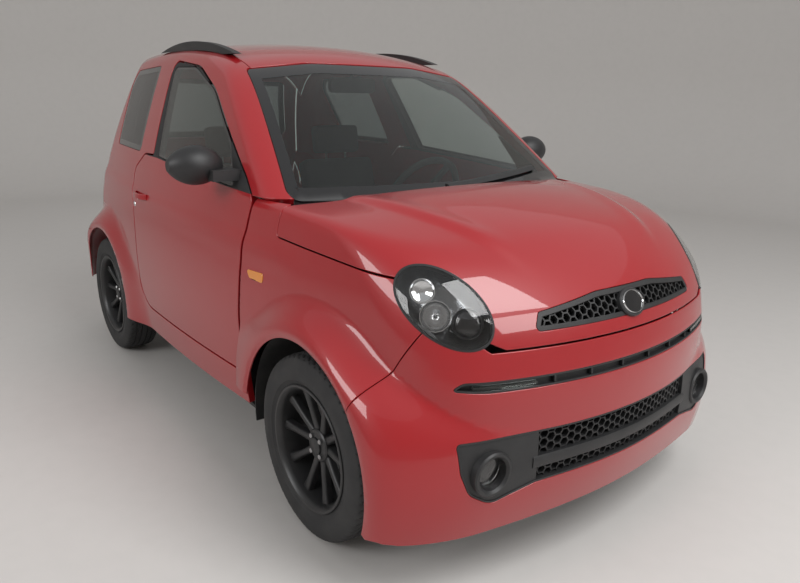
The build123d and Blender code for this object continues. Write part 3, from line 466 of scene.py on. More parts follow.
def panelMesh(window, cutters, spacing=9.0, lift=0.0, edge=2.2, depth=6.0, zones=()):
    # a closed shell over the part of the form that every cutter keeps
    form = window.form
    flatLines = [line for cut in [*cutters, *zones] for run in cut.curves(form) for line in window.lines(run)]
    low = np.min([line.min(0) for line in flatLines], 0)
    high = np.max([line.max(0) for line in flatLines], 0)
    pitch = spacing if window.parallel else spacing * window.spread
    columns = np.arange(low[0], high[0], pitch)
    rowsUp = np.arange(low[1], high[1], pitch * 0.866)
    grid = np.array([(u + (k % 2) * pitch / 2, v) for k, v in enumerate(rowsUp) for u in columns])
    onForm = window.cast(grid)
    for cut in cutters:
        grid, onForm = (rows[cut.holds(onForm)] for rows in (grid, onForm))
    linePoints = np.vstack(flatLines)
    near = {}
    for point in linePoints:
        near.setdefault((int(point[0] // pitch), int(point[1] // pitch)), []).append(point)
    kept = []
    for point in grid:
        cell = (int(point[0] // pitch), int(point[1] // pitch))
        close = [
            q for i in (-1, 0, 1) for j in (-1, 0, 1) for q in near.get((cell[0] + i, cell[1] + j), ())
        ]
        if not close or min(math.dist(point, q) for q in close) > 0.55 * pitch:
            kept.append(point)
    flat, edges = [tuple(p) for p in kept], []
    for line in flatLines:
        base = len(flat)
        flat += [tuple(p) for p in line]
        edges += [(base + k, base + k + 1) for k in range(len(line) - 1)]
    coordinates, _, faces, _, _, _ = delaunay_2d_cdt([Vector(p) for p in flat], edges, [], 0, 1e-4)
    flat = np.array([tuple(p) for p in coordinates])
    triangles = np.array([f for f in faces if len(f) == 3], int)
    surface = window.cast(flat)
    middles = window.cast(flat[triangles].mean(1))
    keep = np.ones(len(triangles), bool)
    for cut in cutters:
        keep &= cut.holds(middles)
    triangles, middles = triangles[keep], middles[keep]
    used = np.unique(triangles)
    renumber = np.full(len(flat), -1)
    renumber[used] = np.arange(len(used))
    triangles, surface = renumber[triangles], surface[used]
    normals = normalsOf(form, surface)
    surface = surface + normals * lift
    zoneOf = np.zeros(len(triangles), int)
    for number, zone in enumerate(zones, 1):
        zoneOf[zone.holds(middles)] = number
    a, b, c = (surface[triangles[:, k]] for k in range(3))
    turned = (np.cross(b - a, c - a) * normals[triangles[:, 0]]).sum(1) < 0
    triangles[turned] = triangles[turned][:, ::-1]
    return closeShell(surface, normals, triangles, zoneOf, edge, depth)


def closeShell(surface, normals, triangles, zoneOf, edge, depth):
    # rounded edge, side wall and inner skin round a sheet of triangles
    owner = {}
    for number, (a, b, c) in enumerate(triangles):
        for pair in ((a, b), (b, c), (c, a)):
            owner[pair] = number
    border = [(pair, number) for pair, number in owner.items() if (pair[1], pair[0]) not in owner]
    count = len(surface)
    outward = np.zeros((count, 3))
    for (a, b), _ in border:
        along = surface[b] - surface[a]
        way = np.cross(along, normals[a])
        way /= max(np.linalg.norm(way), 1e-9)
        outward[a] += way
        outward[b] += way
    size = np.linalg.norm(outward, axis=1)
    onBorder = np.unique([i for pair, _ in border for i in pair])
    sharpness = np.clip(size / 2, 0.5, 1)
    unit = outward / np.maximum(size, 1e-9)[:, None]
    unit -= normals * (unit * normals).sum(1)[:, None]
    unit /= np.maximum(np.linalg.norm(unit, axis=1), 1e-9)[:, None]
    reach = edge / np.maximum(sharpness, 0.5)
    points, allNormals = [surface], [normals]
    row = {int(i): k for k, i in enumerate(onBorder)}
    rows = []
    steps = [(math.radians(a), 0) for a in (30, 60, 90)] + [(math.radians(90), depth - edge)]
    ring = [surface[onBorder], normals[onBorder], unit[onBorder], reach[onBorder][:, None]]
    for angle, deeper in steps:
        base = sum(len(p) for p in points)
        sink = edge * (1 - math.cos(angle)) + deeper
        points.append(ring[0] + ring[2] * ring[3] * math.sin(angle) - ring[1] * sink)
        allNormals.append(ring[1] * math.cos(angle) + ring[2] * math.sin(angle))
        rows.append(base)
    faces = [tuple(t) for t in triangles]
    materials = list(zoneOf)
    for (a, b), number in border:
        ia, ib = row[int(a)], row[int(b)]
        previous = (a, b)
        for base in rows:
            faces.append((previous[1], previous[0], base + ia, base + ib))
            materials.append(zoneOf[number])
            previous = (base + ia, base + ib)
    innerBase = sum(len(p) for p in points)
    inner = surface - normals * depth
    inner[onBorder] = points[-1]
    points.append(inner)
    allNormals.append(-normals)
    faces += [tuple(innerBase + i for i in reversed(t)) for t in triangles]
    materials += list(zoneOf)
    return np.vstack(points), faces, np.vstack(allNormals), materials


def panelPiece(name, window, cutters, materials, node=None, ride="root", slot=None, mirrorToo=None, **options):
    # one shell, and its mirror image where the other side has one as well
    made = panelMesh(window, cutters, **options)
    pieces = []
    names = [(name, node, ride, 1)]
    if mirrorToo:
        names.append((*mirrorToo, -1))
    for pieceName, pieceNode, pieceRide, flip in names:
        points, faces, normals, indices = made
        if flip < 0:
            points, normals = points * (1, -1, 1), normals * (1, -1, 1)
            faces = [tuple(reversed(f)) for f in faces]
        piece = addMesh(pieceName, points, faces, materials, normals, indices)
        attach(piece, pieceRide)
        if pieceNode:
            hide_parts(pieceNode)
        pieces.append(piece)
    print(name, len(made[1]), "faces")
    return pieces


# shader groups that several finishes share
def newGroup(name, inputs, outputs):
    group = bpy.data.node_groups.new(name, "ShaderNodeTree")
    for label, kind, value in inputs:
        socket = group.interface.new_socket(name=label, in_out="INPUT", socket_type="NodeSocket" + kind)
        socket.default_value = value
    for label, kind in outputs:
        group.interface.new_socket(name=label, in_out="OUTPUT", socket_type="NodeSocket" + kind)
    tree = group.nodes
    return group, tree.new("NodeGroupInput"), tree.new("NodeGroupOutput")


def wire(links, *rows):
    # each row: a node, its output, the next node, its input
    for start, output, end, entry in rows:
        links.new(start.outputs[output], end.inputs[entry])


def makeGrain():
    # fine moulded or cast grain: a height and a light-dark mask
    group, entry, out = newGroup(
        "moulded grain",
        [("Scale", "Float", 900.0), ("Depth", "Float", 0.5), ("Blotch", "Float", 6.0)],
        [("Height", "Float"), ("Tone", "Float")],
    )
    nodes, links = group.nodes, group.links
    where = nodes.new("ShaderNodeTexCoord")
    fine = nodes.new("ShaderNodeTexNoise")
    fine.inputs["Detail"].default_value = 3
    wide = nodes.new("ShaderNodeTexNoise")
    wide.inputs["Detail"].default_value = 4
    scaleDepth = nodes.new("ShaderNodeMath")
    scaleDepth.operation = "MULTIPLY"
    wire(
        links, (where, "Object", fine, "Vector"), (where, "Object", wide, "Vector"),
        (entry, "Scale", fine, "Scale"), (entry, "Blotch", wide, "Scale"),
        (fine, "Fac", scaleDepth, 0), (entry, "Depth", scaleDepth, 1),
        (scaleDepth, 0, out, "Height"), (wide, "Fac", out, "Tone"),
    )
    return group


def makeDust():
    # dust in soft random blotches from a noise cloud, mixed over the clean colour
    group, entry, out = newGroup(
        "dust and rub",
        [
            ("Clean", "Color", (0.1, 0.1, 0.1, 1)), ("Dusty", "Color", (0.3, 0.28, 0.26, 1)),
            ("Amount", "Float", 0.15),
        ],
        [("Color", "Color"), ("Mask", "Float")],
    )
    nodes, links = group.nodes, group.links
    where = nodes.new("ShaderNodeTexCoord")
    cloud = nodes.new("ShaderNodeTexNoise")
    cloud.inputs["Scale"].default_value = 14
    cloud.inputs["Detail"].default_value = 6
    spread = nodes.new("ShaderNodeMapRange")
    spread.inputs["From Min"].default_value = 0.42
    spread.inputs["From Max"].default_value = 0.72
    share = nodes.new("ShaderNodeMath")
    share.operation = "MULTIPLY"
    mix = nodes.new("ShaderNodeMix")
    mix.data_type = "RGBA"
    wire(
        links, (where, "Object", cloud, "Vector"), (cloud, "Fac", spread, "Value"),
        (spread, "Result", share, 0), (entry, "Amount", share, 1), (share, 0, mix, "Factor"),
        (entry, "Clean", mix, 6), (entry, "Dusty", mix, 7),
        (mix, 2, out, "Color"), (share, 0, out, "Mask"),
    )
    return group


grainGroup = makeGrain()
dustGroup = makeDust()


def colour(red, green, blue):
    return (red, green, blue, 1.0)


def finish(
    name,
    base,
    rough=0.5,
    metal=0.0,
    coat=0.0,
    coatRough=0.03,
    specular=0.5,
    grain=None,
    dust=None,
    tone=0.0,
    glass=0.0,
    ior=1.5,
):
    # a Principled material with grain and dust groups where they are asked for
    material = bpy.data.materials.new(name)
    material.use_nodes = True
    nodes, links = material.node_tree.nodes, material.node_tree.links
    shader = nodes["Principled BSDF"]
    shader.inputs["Base Color"].default_value = colour(*base)
    for socket, value in (
        ("Roughness", rough),
        ("Metallic", metal),
        ("Coat Weight", coat),
        ("Coat Roughness", coatRough),
        ("Specular IOR Level", specular),
        ("Transmission Weight", glass),
        ("IOR", ior),
    ):
        shader.inputs[socket].default_value = value
    if grain:
        scale, depth, height = grain
        mould = nodes.new("ShaderNodeGroup")
        mould.node_tree = grainGroup
        mould.inputs["Scale"].default_value, mould.inputs["Depth"].default_value = scale, depth
        bump = nodes.new("ShaderNodeBump")
        bump.inputs["Distance"].default_value = height
        bump.inputs["Strength"].default_value = 0.6
        wire(links, (mould, "Height", bump, "Height"), (bump, "Normal", shader, "Normal"))
        if tone:
            spread = nodes.new("ShaderNodeMapRange")
            spread.inputs["To Min"].default_value = rough - tone
            spread.inputs["To Max"].default_value = rough + tone
            wire(links, (mould, "Tone", spread, "Value"), (spread, "Result", shader, "Roughness"))
    if dust:
        amount, dusty = dust
        layer = nodes.new("ShaderNodeGroup")
        layer.node_tree = dustGroup
        layer.inputs["Clean"].default_value = colour(*base)
        layer.inputs["Dusty"].default_value = colour(*dusty)
        layer.inputs["Amount"].default_value = amount
        wire(links, (layer, "Color", shader, "Base Color"))
    return material


redPaint = finish(
    "red paint", (0.33, 0.004, 0.008), rough=0.42, coat=1.0, coatRough=0.035, specular=0.4,
    dust=(0.05, (0.4, 0.02, 0.03)),
)
blackPlastic = finish(
    "black plastic", (0.018, 0.018, 0.019), rough=0.48, grain=(1400, 0.5, 0.0004), tone=0.08,
    dust=(0.2, (0.05, 0.05, 0.05)),
)
glossBlack = finish(
    "gloss black", (0.008, 0.008, 0.009), rough=0.16, coat=0.6, grain=(300, 0.2, 0.0001),
    dust=(0.1, (0.02, 0.02, 0.02)),
)
sealRubber = finish(
    "seal rubber", (0.012, 0.012, 0.013), rough=0.62, grain=(700, 0.4, 0.0003), dust=(0.2, (0.04, 0.04, 0.04)),
)
trimGrey = finish(
    "cabin plastic", (0.035, 0.035, 0.037), rough=0.6, grain=(900, 0.6, 0.0005), tone=0.1,
    dust=(0.2, (0.07, 0.07, 0.07)),
)
underSteel = finish(
    "underbody paint", (0.02, 0.02, 0.021), rough=0.7, grain=(160, 0.8, 0.0012),
    dust=(0.4, (0.07, 0.065, 0.06)),
)
screenGlass = finish("clear glass", (0.55, 0.60, 0.58), rough=0.0, glass=1.0, ior=1.45)
darkGlass = finish("tinted glass", (0.25, 0.28, 0.28), rough=0.0, glass=1.0, ior=1.45)
lensClear = finish("lamp lens", (0.95, 0.95, 0.95), rough=0.0, glass=1.0, ior=1.4)
amberLens = finish(
    "amber lens", (0.75, 0.26, 0.03), rough=0.2, coat=0.8, grain=(120, 0.5, 0.0006),
    dust=(0.1, (0.5, 0.2, 0.05)),
)
redLens = finish(
    "tail lamp red", (0.45, 0.01, 0.012), rough=0.12, coat=1.0, grain=(90, 0.6, 0.0008),
    dust=(0.1, (0.3, 0.02, 0.02)),
)
chrome = finish(
    "bright chrome", (0.78, 0.79, 0.80), rough=0.09, metal=1.0, grain=(60, 0.2, 0.0002),
    dust=(0.1, (0.5, 0.5, 0.5)),
)
brightSteel = finish(
    "machined steel", (0.5, 0.5, 0.51), rough=0.32, metal=1.0, grain=(400, 0.4, 0.0003),
    dust=(0.3, (0.3, 0.28, 0.25)),
)
darkIron = finish(
    "cast iron", (0.09, 0.088, 0.085), rough=0.58, metal=0.7, grain=(220, 0.8, 0.001),
    dust=(0.4, (0.12, 0.1, 0.09)),
)
blackAlloy = finish(
    "black alloy", (0.016, 0.016, 0.017), rough=0.4, specular=0.6, grain=(1600, 0.3, 0.0002), tone=0.06,
    dust=(0.15, (0.04, 0.04, 0.04)),
)
tyreRubber = finish(
    "tyre rubber", (0.022, 0.022, 0.023), rough=0.72, grain=(500, 0.6, 0.0005), tone=0.08,
    dust=(0.3, (0.06, 0.058, 0.055)),
)
seatCloth = finish(
    "seat cloth", (0.05, 0.05, 0.055), rough=0.9, grain=(1200, 1.0, 0.0012), dust=(0.2, (0.09, 0.09, 0.09)),
)
greyBowl = finish(
    "lamp bowl", (0.30, 0.31, 0.32), rough=0.22, metal=0.9, grain=(50, 0.2, 0.0002),
    dust=(0.1, (0.2, 0.2, 0.2)),
)

slotFinishes = {
    "body_paint": redPaint,
    "underbody": underSteel,
    "black_plastic": blackPlastic,
    "interior_plastic": trimGrey,
    "clear_glass": screenGlass,
    "tinted_glass": darkGlass,
    "lamp_lens": lensClear,
    "tail_lamp_red": redLens,
    "seat_cloth": seatCloth,
    "cast_iron": darkIron,
    "aluminium": brightSteel,
    "dark_steel": darkIron,
    "exhaust_steel": brightSteel,
    "tyre_rubber": tyreRubber,
    "black_alloy": blackAlloy,
}
nodeSlots = {part["node"]: part["material_slot"] for part in frame["record"]["subparts"]}
for nodeName, thing in frame["nodes"].items():
    thing.data.materials.clear()
    thing.data.materials.append(slotFinishes[nodeSlots[nodeName]])
print("finishes ready")

# windows from which the panels are drawn
rightSide = Window(cabinForm, (0, 0, 0), (0, -1, 0), parallel=True)
rightNose = Window(noseForm, (0, 0, 0), (0, -1, 0), parallel=True)
noseAhead = Window(noseForm, (350, 0, 470), (1, 0, 0))
noseAbove = Window(noseForm, (780, 0, 300), (0.45, 0, 0.89), up=(1, 0, 0))
tailBehind = Window(cabinForm, (-300, 0, 700), (-1, 0, 0))
screenAhead = Window(cabinForm, (-300, 0, 700), (0.75, 0, 0.66), up=(1, 0, 0))
roofAbove = Window(cabinForm, (0, 0, 300), (0, 0, 1), up=(1, 0, 0), parallel=True)

outlines = {
    "door": [
        (478, 370, 45), (480, 570, 400), (506, 790, 300), (530, 952, 40), (462, 1008, 150),
        (70, 1268, 500), (-140, 1352, 300), (-446, 1380, 45), (-352, 1012, 12), (-462, 1008, 40),
        (-553, 940, 60), (-548, 880, 150), (-498, 730, 400), (-500, 368, 125),
    ],
    "doorGlass": [
        (402, 972, 12), (300, 1108, 60), (60, 1268, 300), (-180, 1350, 200), (-411, 1352, 25), (-290, 1011, 12),
    ],
    "quarterGlass": [(-534, 1012, 20), (-604, 1360, 20), (-960, 1344, 45), (-1010, 1290, 60), (-938, 1016, 30)],
    "bumperEdge": [
        (1268, 722, 20), (1246, 681, 60), (1221, 636, 100), (1195, 588, 100), (1168, 534, 60), (1120, 430, 0),
    ],
}
print("outlines ready")

movingGap, fixedGap, edgeRound = 6.0, 1.0, 2.2
noseEnd, screenEnd, tailEnd, grilleEnd = (900, 9999), (20, 9999), (-9999, -1000), (600, 9999)
openGap = movingGap / 2 + edgeRound
shrink, doorShrink = -(fixedGap + edgeRound), -openGap
bothSides = (-1, 1)


def archCut(axle, sides=(-1,)):
    return hole("side", circleRows(axles[axle], wheelHeight, archRadius + edgeRound), sides=sides, ready=True)


def lampCut(sides=(-1,)):
    return hole("lamp", ellipseRows(*headlight["halfAxes"]), grow=headlight["seal"], sides=sides, ready=True)


def mirrored(rows):
    return [*rows, *[(-row[0], *row[1:]) for row in reversed(rows)]]


# front wings
wingRows = [
    (486, 335, 2), (488, 570, 400), (514, 790, 300), (536, 956, 4), (690, 956, 10), (690, 862, 14),
    (1200, 832, 0), (1300, 770, 0), *outlines["bumperEdge"], (900, 335, 0),
]
repeaterRows = [(545, 738, 6), (640, 742, 8), (634, 714, 6), (562, 716, 6)]
panelPiece(
    "wingPanelRight",
    rightNose,
    [Cutter("side", wingRows, shrink), archCut("front"), lampCut(), hole("side", repeaterRows, 2.5)],
    [redPaint],
    "wing_right",
    slot="body_paint",
    mirrorToo=("wingPanelLeft", "wing_left", "root"),
    spacing=9,
    depth=5,
)

# bonnet and front bumper
noseSplit = [
    (-468, 676, 0), (468, 676, 0), (500, 700, 0), (542, 779, 0), (760, 1100, 0),
    (-760, 1100, 0), (-542, 779, 0), (-500, 700, 0),
]
belowSplit = [
    (-468, 676, 0), (468, 676, 0), (500, 700, 0), (542, 779, 0), (600, 868, 0), (900, 868, 0),
    (900, 100, 0), (-900, 100, 0), (-900, 868, 0), (-600, 868, 0), (-542, 779, 0), (-500, 700, 0),
]
bonnetSide = [
    (600, 1200, 0), (600, 862, 0), (690, 862, 0), (1200, 832, 0), (1300, 770, 0), (1364, 700, 0),
    (1500, 560, 0), (1700, 560, 0), (1700, 1200, 0),
]
bonnetRear = [(690 + 110 * (1 - (y / 640) ** 2), y, 0) for y in np.linspace(-640, 640, 25)]
bonnetTop = [*bonnetRear, (690, 760, 0), (1700, 760, 0), (1700, -760, 0), (690, -760, 0)]
upperGrilleRows = mirrored([(350, 714, 12), (326, 758, 12), (120, 784, 300)])
slotRows = mirrored([(480, 577, 20), (566, 583, 6), (540, 606, 30)])
lowerGrilleRows = mirrored(
    [(340, 308, 60), (420, 292, 40), (476, 278, 60), (540, 320, 50), (562, 380, 60), (568, 457, 12)]
)
panelPiece(
    "bonnetPanel",
    noseAbove,
    [
        hole("front", belowSplit, openGap, x=(1200, 9999)),
        Cutter("side", bonnetSide, doorShrink, sides=bothSides),
        Cutter("top", bonnetTop, -edgeRound),
        hole("front", upperGrilleRows, edgeRound),
        lampCut(bothSides),
    ],
    [redPaint],
    "bonnet",
    "bonnet",
    "body_paint",
    spacing=10,
    depth=12,
)
bumperSide = [
    (1120, 100, 0), (1700, 100, 0), (1700, 900, 0), (1300, 900, 0), (1268, 800, 0), *outlines["bumperEdge"],
]
panelPiece(
    "frontBumperSkin",
    noseAhead,
    [
        Cutter("side", bumperSide, shrink, sides=bothSides),
        hole("front", noseSplit, edgeRound + 2, x=noseEnd),
        Cutter("front", [(-900, 188, 0), (900, 188, 0), (900, 900, 0), (-900, 900, 0)], -edgeRound, x=noseEnd),
        archCut("front", bothSides),
        lampCut(bothSides),
        hole("front", slotRows, edgeRound, x=noseEnd),
        hole("front", lowerGrilleRows, edgeRound, x=noseEnd),
    ],
    [redPaint],
    "front_bumper",
    slot="body_paint",
    spacing=10,
    depth=5,
)

# doors, side frames, roof, tailgate and rear bumper
sideFrom = Window(cabinForm, (-450, 300, 700), (0, -1, 0))
doorGlassHole = hole("side", outlines["doorGlass"], 3)
beltRows = [(560, 962, 0), (300, 972, 0), (-300, 1004, 0), (-700, 1004, 0), (-700, 1500, 0), (560, 1500, 0)]
panelPiece(
    "doorPanelRight",
    rightSide,
    [Cutter("side", outlines["door"], doorShrink), doorGlassHole],
    [redPaint, sealRubber],
    "door_right",
    "door_right",
    "body_paint",
    ("doorPanelLeft", "door_left", "door_left"),
    zones=[Cutter("side", beltRows)],
    spacing=9,
    depth=30,
)
windscreenRows = mirrored([(612, 957, 25), (486, 1343, 25), (240, 1372, 500)])
tailgateRows = mirrored([(500, 592, 60), (505, 900, 200), (405, 1500, 0)])
rearWindowRows = mirrored([(430, 1010, 40), (365, 1325, 40)])
tailLampRows = [(-1228, 702, 20), (-1222, 918, 32), (-1306, 920, 26), (-1336, 702, 20)]
frameRows = [
    (486, 255, 4), (486, 960, 0), (800, 960, 0), (800, 1490, 0), (-1560, 1490, 0), (-1560, 585, 0),
    (-1150, 585, 0), (-1150, 255, 0),
]
panelPiece(
    "sideFrameRight",
    sideFrom,
    [
        Cutter("side", frameRows, shrink),
        hole("side", outlines["door"], openGap),
        hole("side", outlines["quarterGlass"], 3),
        hole("front", windscreenRows, 3, x=screenEnd),
        hole("front", tailgateRows, openGap, x=tailEnd),
        hole("side", tailLampRows, 3),
        hole("top", [(-1150, -468, 0), (800, -468, 0), (800, 468, 0), (-1150, 468, 0)], fixedGap + edgeRound),
        archCut("rear"),
    ],
    [redPaint],
    "side_frame_right",
    slot="body_paint",
    mirrorToo=("sideFrameLeft", "side_frame_left", "root"),
    spacing=10,
    depth=22,
)
panelPiece(
    "roofSkin",
    roofAbove,
    [
        Cutter("top", [(-1150, -468, 0), (400, -468, 0), (400, 468, 0), (-1150, 468, 0)], shrink),
        hole("front", windscreenRows, 3, x=screenEnd),
    ],
    [redPaint],
    "roof_panel",
    slot="body_paint",
    spacing=14,
    depth=20,
)
panelPiece(
    "tailgateSkin",
    tailBehind,
    [
        Cutter("front", tailgateRows, doorShrink, x=tailEnd),
        Cutter("top", [(-1152, -700, 0), (-1152, 700, 0), (-1700, 700, 0), (-1700, -700, 0)], doorShrink),
        hole("front", rearWindowRows, 3, x=tailEnd),
    ],
    [redPaint],
    "tailgate",
    "tailgate",
    "body_paint",
    spacing=11,
    depth=24,
)
panelPiece(
    "rearBumperSkin",
    Window(cabinForm, (-500, 0, 450), (-1, 0, 0)),
    [
        Cutter("front", [(-900, 292, 0), (900, 292, 0), (900, 585, 0), (-900, 585, 0)], shrink, x=tailEnd),
        Cutter("side", [(-1130, 100, 0), (-1130, 800, 0), (-1700, 800, 0), (-1700, 100, 0)], sides=bothSides),
        archCut("rear", bothSides),
    ],
    [redPaint],
    "rear_bumper",
    slot="body_paint",
    spacing=11,
    depth=5,
)
panelPiece(
    "tailLampRight",
    sideFrom,
    [Cutter("side", tailLampRows, -1)],
    [redLens, amberLens, lensClear],
    "tail_lamps",
    slot="tail_lamp_red",
    mirrorToo=("tailLampLeft", "tail_lamps", "root"),
    zones=[
        Cutter("side", [(-1400, 758, 0), (-1200, 758, 0), (-1200, 798, 0), (-1400, 798, 0)]),
        Cutter("side", [(-1400, 728, 0), (-1200, 728, 0), (-1200, 758, 0), (-1400, 758, 0)]),
    ],
    spacing=7,
    lift=2.0,
    edge=1.5,
    depth=18,
)
print("panels ready")

# glass with printed black borders
def glassPane(
    name, window, rows, view, border, materials, node, ride, slot, mirrorToo=None, x=(-9999, 9999), spacing=16,
):
    return panelPiece(
        name,
        window,
        [Cutter(view, rows, -1.5, x=x)],
        materials,
        node,
        ride,
        slot,
        mirrorToo,
        zones=[Cutter(view, rows, -border, x=x)],
        spacing=spacing,
        lift=-1.5,
        edge=1.0,
        depth=5,
    )


glassPane(
    "windscreenGlass", screenAhead, windscreenRows, "front", 34, [glossBlack, screenGlass], "windscreen",
    "root", "clear_glass", x=screenEnd,
)
glassPane(
    "doorGlassRight", rightSide, outlines["doorGlass"], "side", 9, [glossBlack, screenGlass],
    "door_glass_right",
    "door_right", "clear_glass", ("doorGlassLeft", "door_glass_left", "door_left"),
)
glassPane(
    "quarterGlassRight", rightSide, outlines["quarterGlass"], "side", 22, [glossBlack, darkGlass],
    "quarter_windows",
    "root", "tinted_glass", ("quarterGlassLeft", "quarter_windows", "root"),
)
glassPane(
    "rearGlass", tailBehind, rearWindowRows, "front", 30, [glossBlack, darkGlass], "rear_window", "tailgate",
    "tinted_glass", x=tailEnd,
)
print("glass ready")


def sharpen(thing, angle=35):
    thing.data.set_sharp_from_angle(angle=math.radians(angle))
    return thing


def strip(rows):
    # quads between neighbouring rows of equal length
    faces = []
    for k in range(len(rows) - 1):
        a, b, n = rows[k], rows[k + 1], len(rows[k])
        faces += [(a[i], a[(i + 1) % n], b[(i + 1) % n], b[i]) for i in range(n)]
    return faces


def gridMesh(name, sheet, materials, wrap=False):
    # closed surface from a rows x columns x 3 sheet; columns always join up, rows join when wrap
    rows, columns = sheet.shape[:2]
    ids = np.arange(rows * columns).reshape(rows, columns)
    faces = strip([list(r) for r in ids] + ([list(ids[0])] if wrap else []))
    if not wrap:
        faces += [tuple(reversed(ids[0])), tuple(ids[-1])]
    return sharpen(addMesh(name, sheet.reshape(-1, 3), faces, materials))


def turned(profile, count, axis="y", centre=(0, 0, 0)):
    # profile rows of (radius, along the axis) swept round the axis
    turn = np.linspace(0, 2 * np.pi, count, endpoint=False)
    radius, along = (np.array(v, float)[:, None] for v in zip(*profile))
    c, s, flatAlong = radius * np.cos(turn), radius * np.sin(turn), along + 0 * turn
    order = {"x": (flatAlong, c, s), "y": (c, flatAlong, s), "z": (c, s, flatAlong)}[axis]
    return np.stack(order, -1) + np.array(centre, float)


def place(thing, ride, nodes=(), slot=None):
    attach(thing, ride)
    if nodes:
        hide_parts(*nodes)
    return thing


# wheels
wheel = {"radius": 278.5, "rim": 178, "middle": 642.5, "spokes": 10, "nuts": 4, "nutCircle": 34}


def tyreSheet():
    rim, outer = wheel["rim"], wheel["radius"]
    side = [
        (rim + 1, 61), (rim + 9, 64), (rim + 16, 65.5), (rim + 24, 70), (rim + 28, 73.5), (rim + 31, 73),
        (rim + 42, 77), (rim + 60, 77), (rim + 72, 74),
    ]
    side += [(outer - 20, 71), (outer - 14, 69), (outer - 9, 66), (outer - 5, 61)]
    across = [55, 50, 46, 43, 40.5, 40, 34.5, 34, 30, 24, 18, 16.5, 16, 10.5, 10, 5, 0]
    tread = [(outer - 3.4 * (abs(y) / 60) ** 2.4, y) for y in across]
    halfRows = side + tread
    rows = halfRows + [(r, -y) for r, y in reversed(halfRows[:-1])]
    rows += [(rim + 1, -50), (rim + 1, 0), (rim + 1, 50)]
    sheet = turned(rows, 360)
    column = np.arange(360)
    grooves = {40: 6.5, 34.5: 6.5, 16: 6.5, 10.5: 6.5}
    for number, (radius, y) in enumerate(rows):
        away = abs(y)
        cut = np.zeros(360)
        if radius > outer - 6:
            if away in grooves:
                cut += 6.5
            lane = int(round(away / 3)) if away < 34 else int(away * 0.25)
            sipe = (column + lane * (1 if y > 0 else -1)) % 6 == 0
            if away > 41 or 18 <= away <= 30:
                cut = np.maximum(cut, np.where(sipe, 5.0, 0))
        elif radius > outer - 16:
            cut = np.where((column + 10) % 6 == 0, 2.2, 0)
        sheet[number, :, 0] *= 1 - cut / radius
        sheet[number, :, 2] *= 1 - cut / radius
    return sheet


def spokeMesh(turn):
    # one spoke as rounded sections from the hub to the barrel
    sections = []
    for t in np.linspace(0, 1, 9):
        radius = 24 + t * 146
        wide = 15 - 4.5 * math.sin(t * math.pi * 0.8) + 4 * t**4
        front = 33 - 9 * (1 - t) ** 2 + 10 * t**2
        ring = [
            (-wide, front - 22), (-wide, front - 7), (-wide + 2, front - 2.5), (-wide + 5, front), (
                0, front + 1,
            ),
            (wide - 5, front), (wide - 2, front - 2.5), (wide, front - 7), (wide, front - 22),
        ]
        sections.append([(radius, y, w) for w, y in ring])
    sheet = np.array(sections, float)
    c, s = math.cos(turn), math.sin(turn)
    x, z = sheet[..., 0] * c - sheet[..., 2] * s, sheet[..., 0] * s + sheet[..., 2] * c
    return np.stack([x, sheet[..., 1], z], -1)


def joined(parts):
    # one points array and one face list from several closed sheets
    points, faces, indices, base = [], [], [], 0
    for sheet, wrap, material in parts:
        rows, columns = sheet.shape[:2]
        ids = np.arange(rows * columns).reshape(rows, columns) + base
        new = strip([list(r) for r in ids] + ([list(ids[0])] if wrap else []))
        if not wrap:
            new += [tuple(reversed(ids[0])), tuple(ids[-1])]
        faces += new
        indices += [material] * len(new)
        points.append(sheet.reshape(-1, 3))
        base += rows * columns
    return np.vstack(points), faces, indices


def makeWheels():
    rim = wheel["rim"]
    barrel = [
        (rim + 12, 66), (rim + 13, 68), (rim + 11, 70.5), (rim + 5, 70), (rim - 2, 64), (rim - 7, 52), (
            rim - 8, 0,
        ),
        (rim - 9, -44), (rim - 1, -60), (rim + 11, -68), (rim + 13, -66), (rim + 12, -64), (rim + 2, -60),
        (rim - 2, -44), (rim - 3, 0), (rim - 2, 48), (rim + 1, 62),
    ]
    hub = [(1, 44), (23, 43), (26, 41), (27, 36), (46, 33), (50, 29), (51, 12), (51, -50), (1, -50)]
    disc = [(46, -33), (104, -33), (104, -43), (46, -43)]
    nuts = []
    for k in range(wheel["nuts"]):
        turn = 2 * math.pi * (k + 0.5) / wheel["nuts"]
        spot = (wheel["nutCircle"] * math.cos(turn), 0, wheel["nutCircle"] * math.sin(turn))
        nuts.append((turned([(0.5, 42), (6, 42), (8, 40), (8, 26), (0.5, 26)], 6, "y", spot), False, 1))
    parts = [(turned(barrel, 120), True, 0), (turned(hub, 60), False, 0), (turned(disc, 90), True, 2)]
    parts += [(spokeMesh(2 * math.pi * k / wheel["spokes"]), False, 0) for k in range(wheel["spokes"])] + nuts
    points, faces, indices = joined(parts)
    sheet = tyreSheet()
    for end, axle in axles.items():
        for hand, side in (("left", 1), ("right", -1)):
            name = end + hand.capitalize()
            body = f"wheel_{end}_{hand}"
            move = np.array([axle, side * wheel["middle"], wheel["radius"]])
            flip = np.array([1, side, 1])
            tyre = gridMesh("tyre" + name.capitalize(), sheet * flip + move, [tyreRubber], wrap=True)
            steels = [blackAlloy, brightSteel, brightSteel]
            alloy = sharpen(
                addMesh("rim" + name.capitalize(), points * flip + move, faces, steels, indices=indices)
            )
            place(tyre, body, [f"tyre_{end}_{hand}"], "tyre_rubber")
            place(alloy, body, [f"rim_{end}_{hand}"], "black_alloy")
            for thing in (tyre, alloy):
                fixFaces(thing)
    print("wheels ready")


def fixFaces(thing):
    # faces turned outwards
    work = bmesh.new()
    work.from_mesh(thing.data)
    bmesh.ops.recalc_face_normals(work, faces=work.faces)
    work.to_mesh(thing.data)
    work.free()
    return thing


makeWheels()

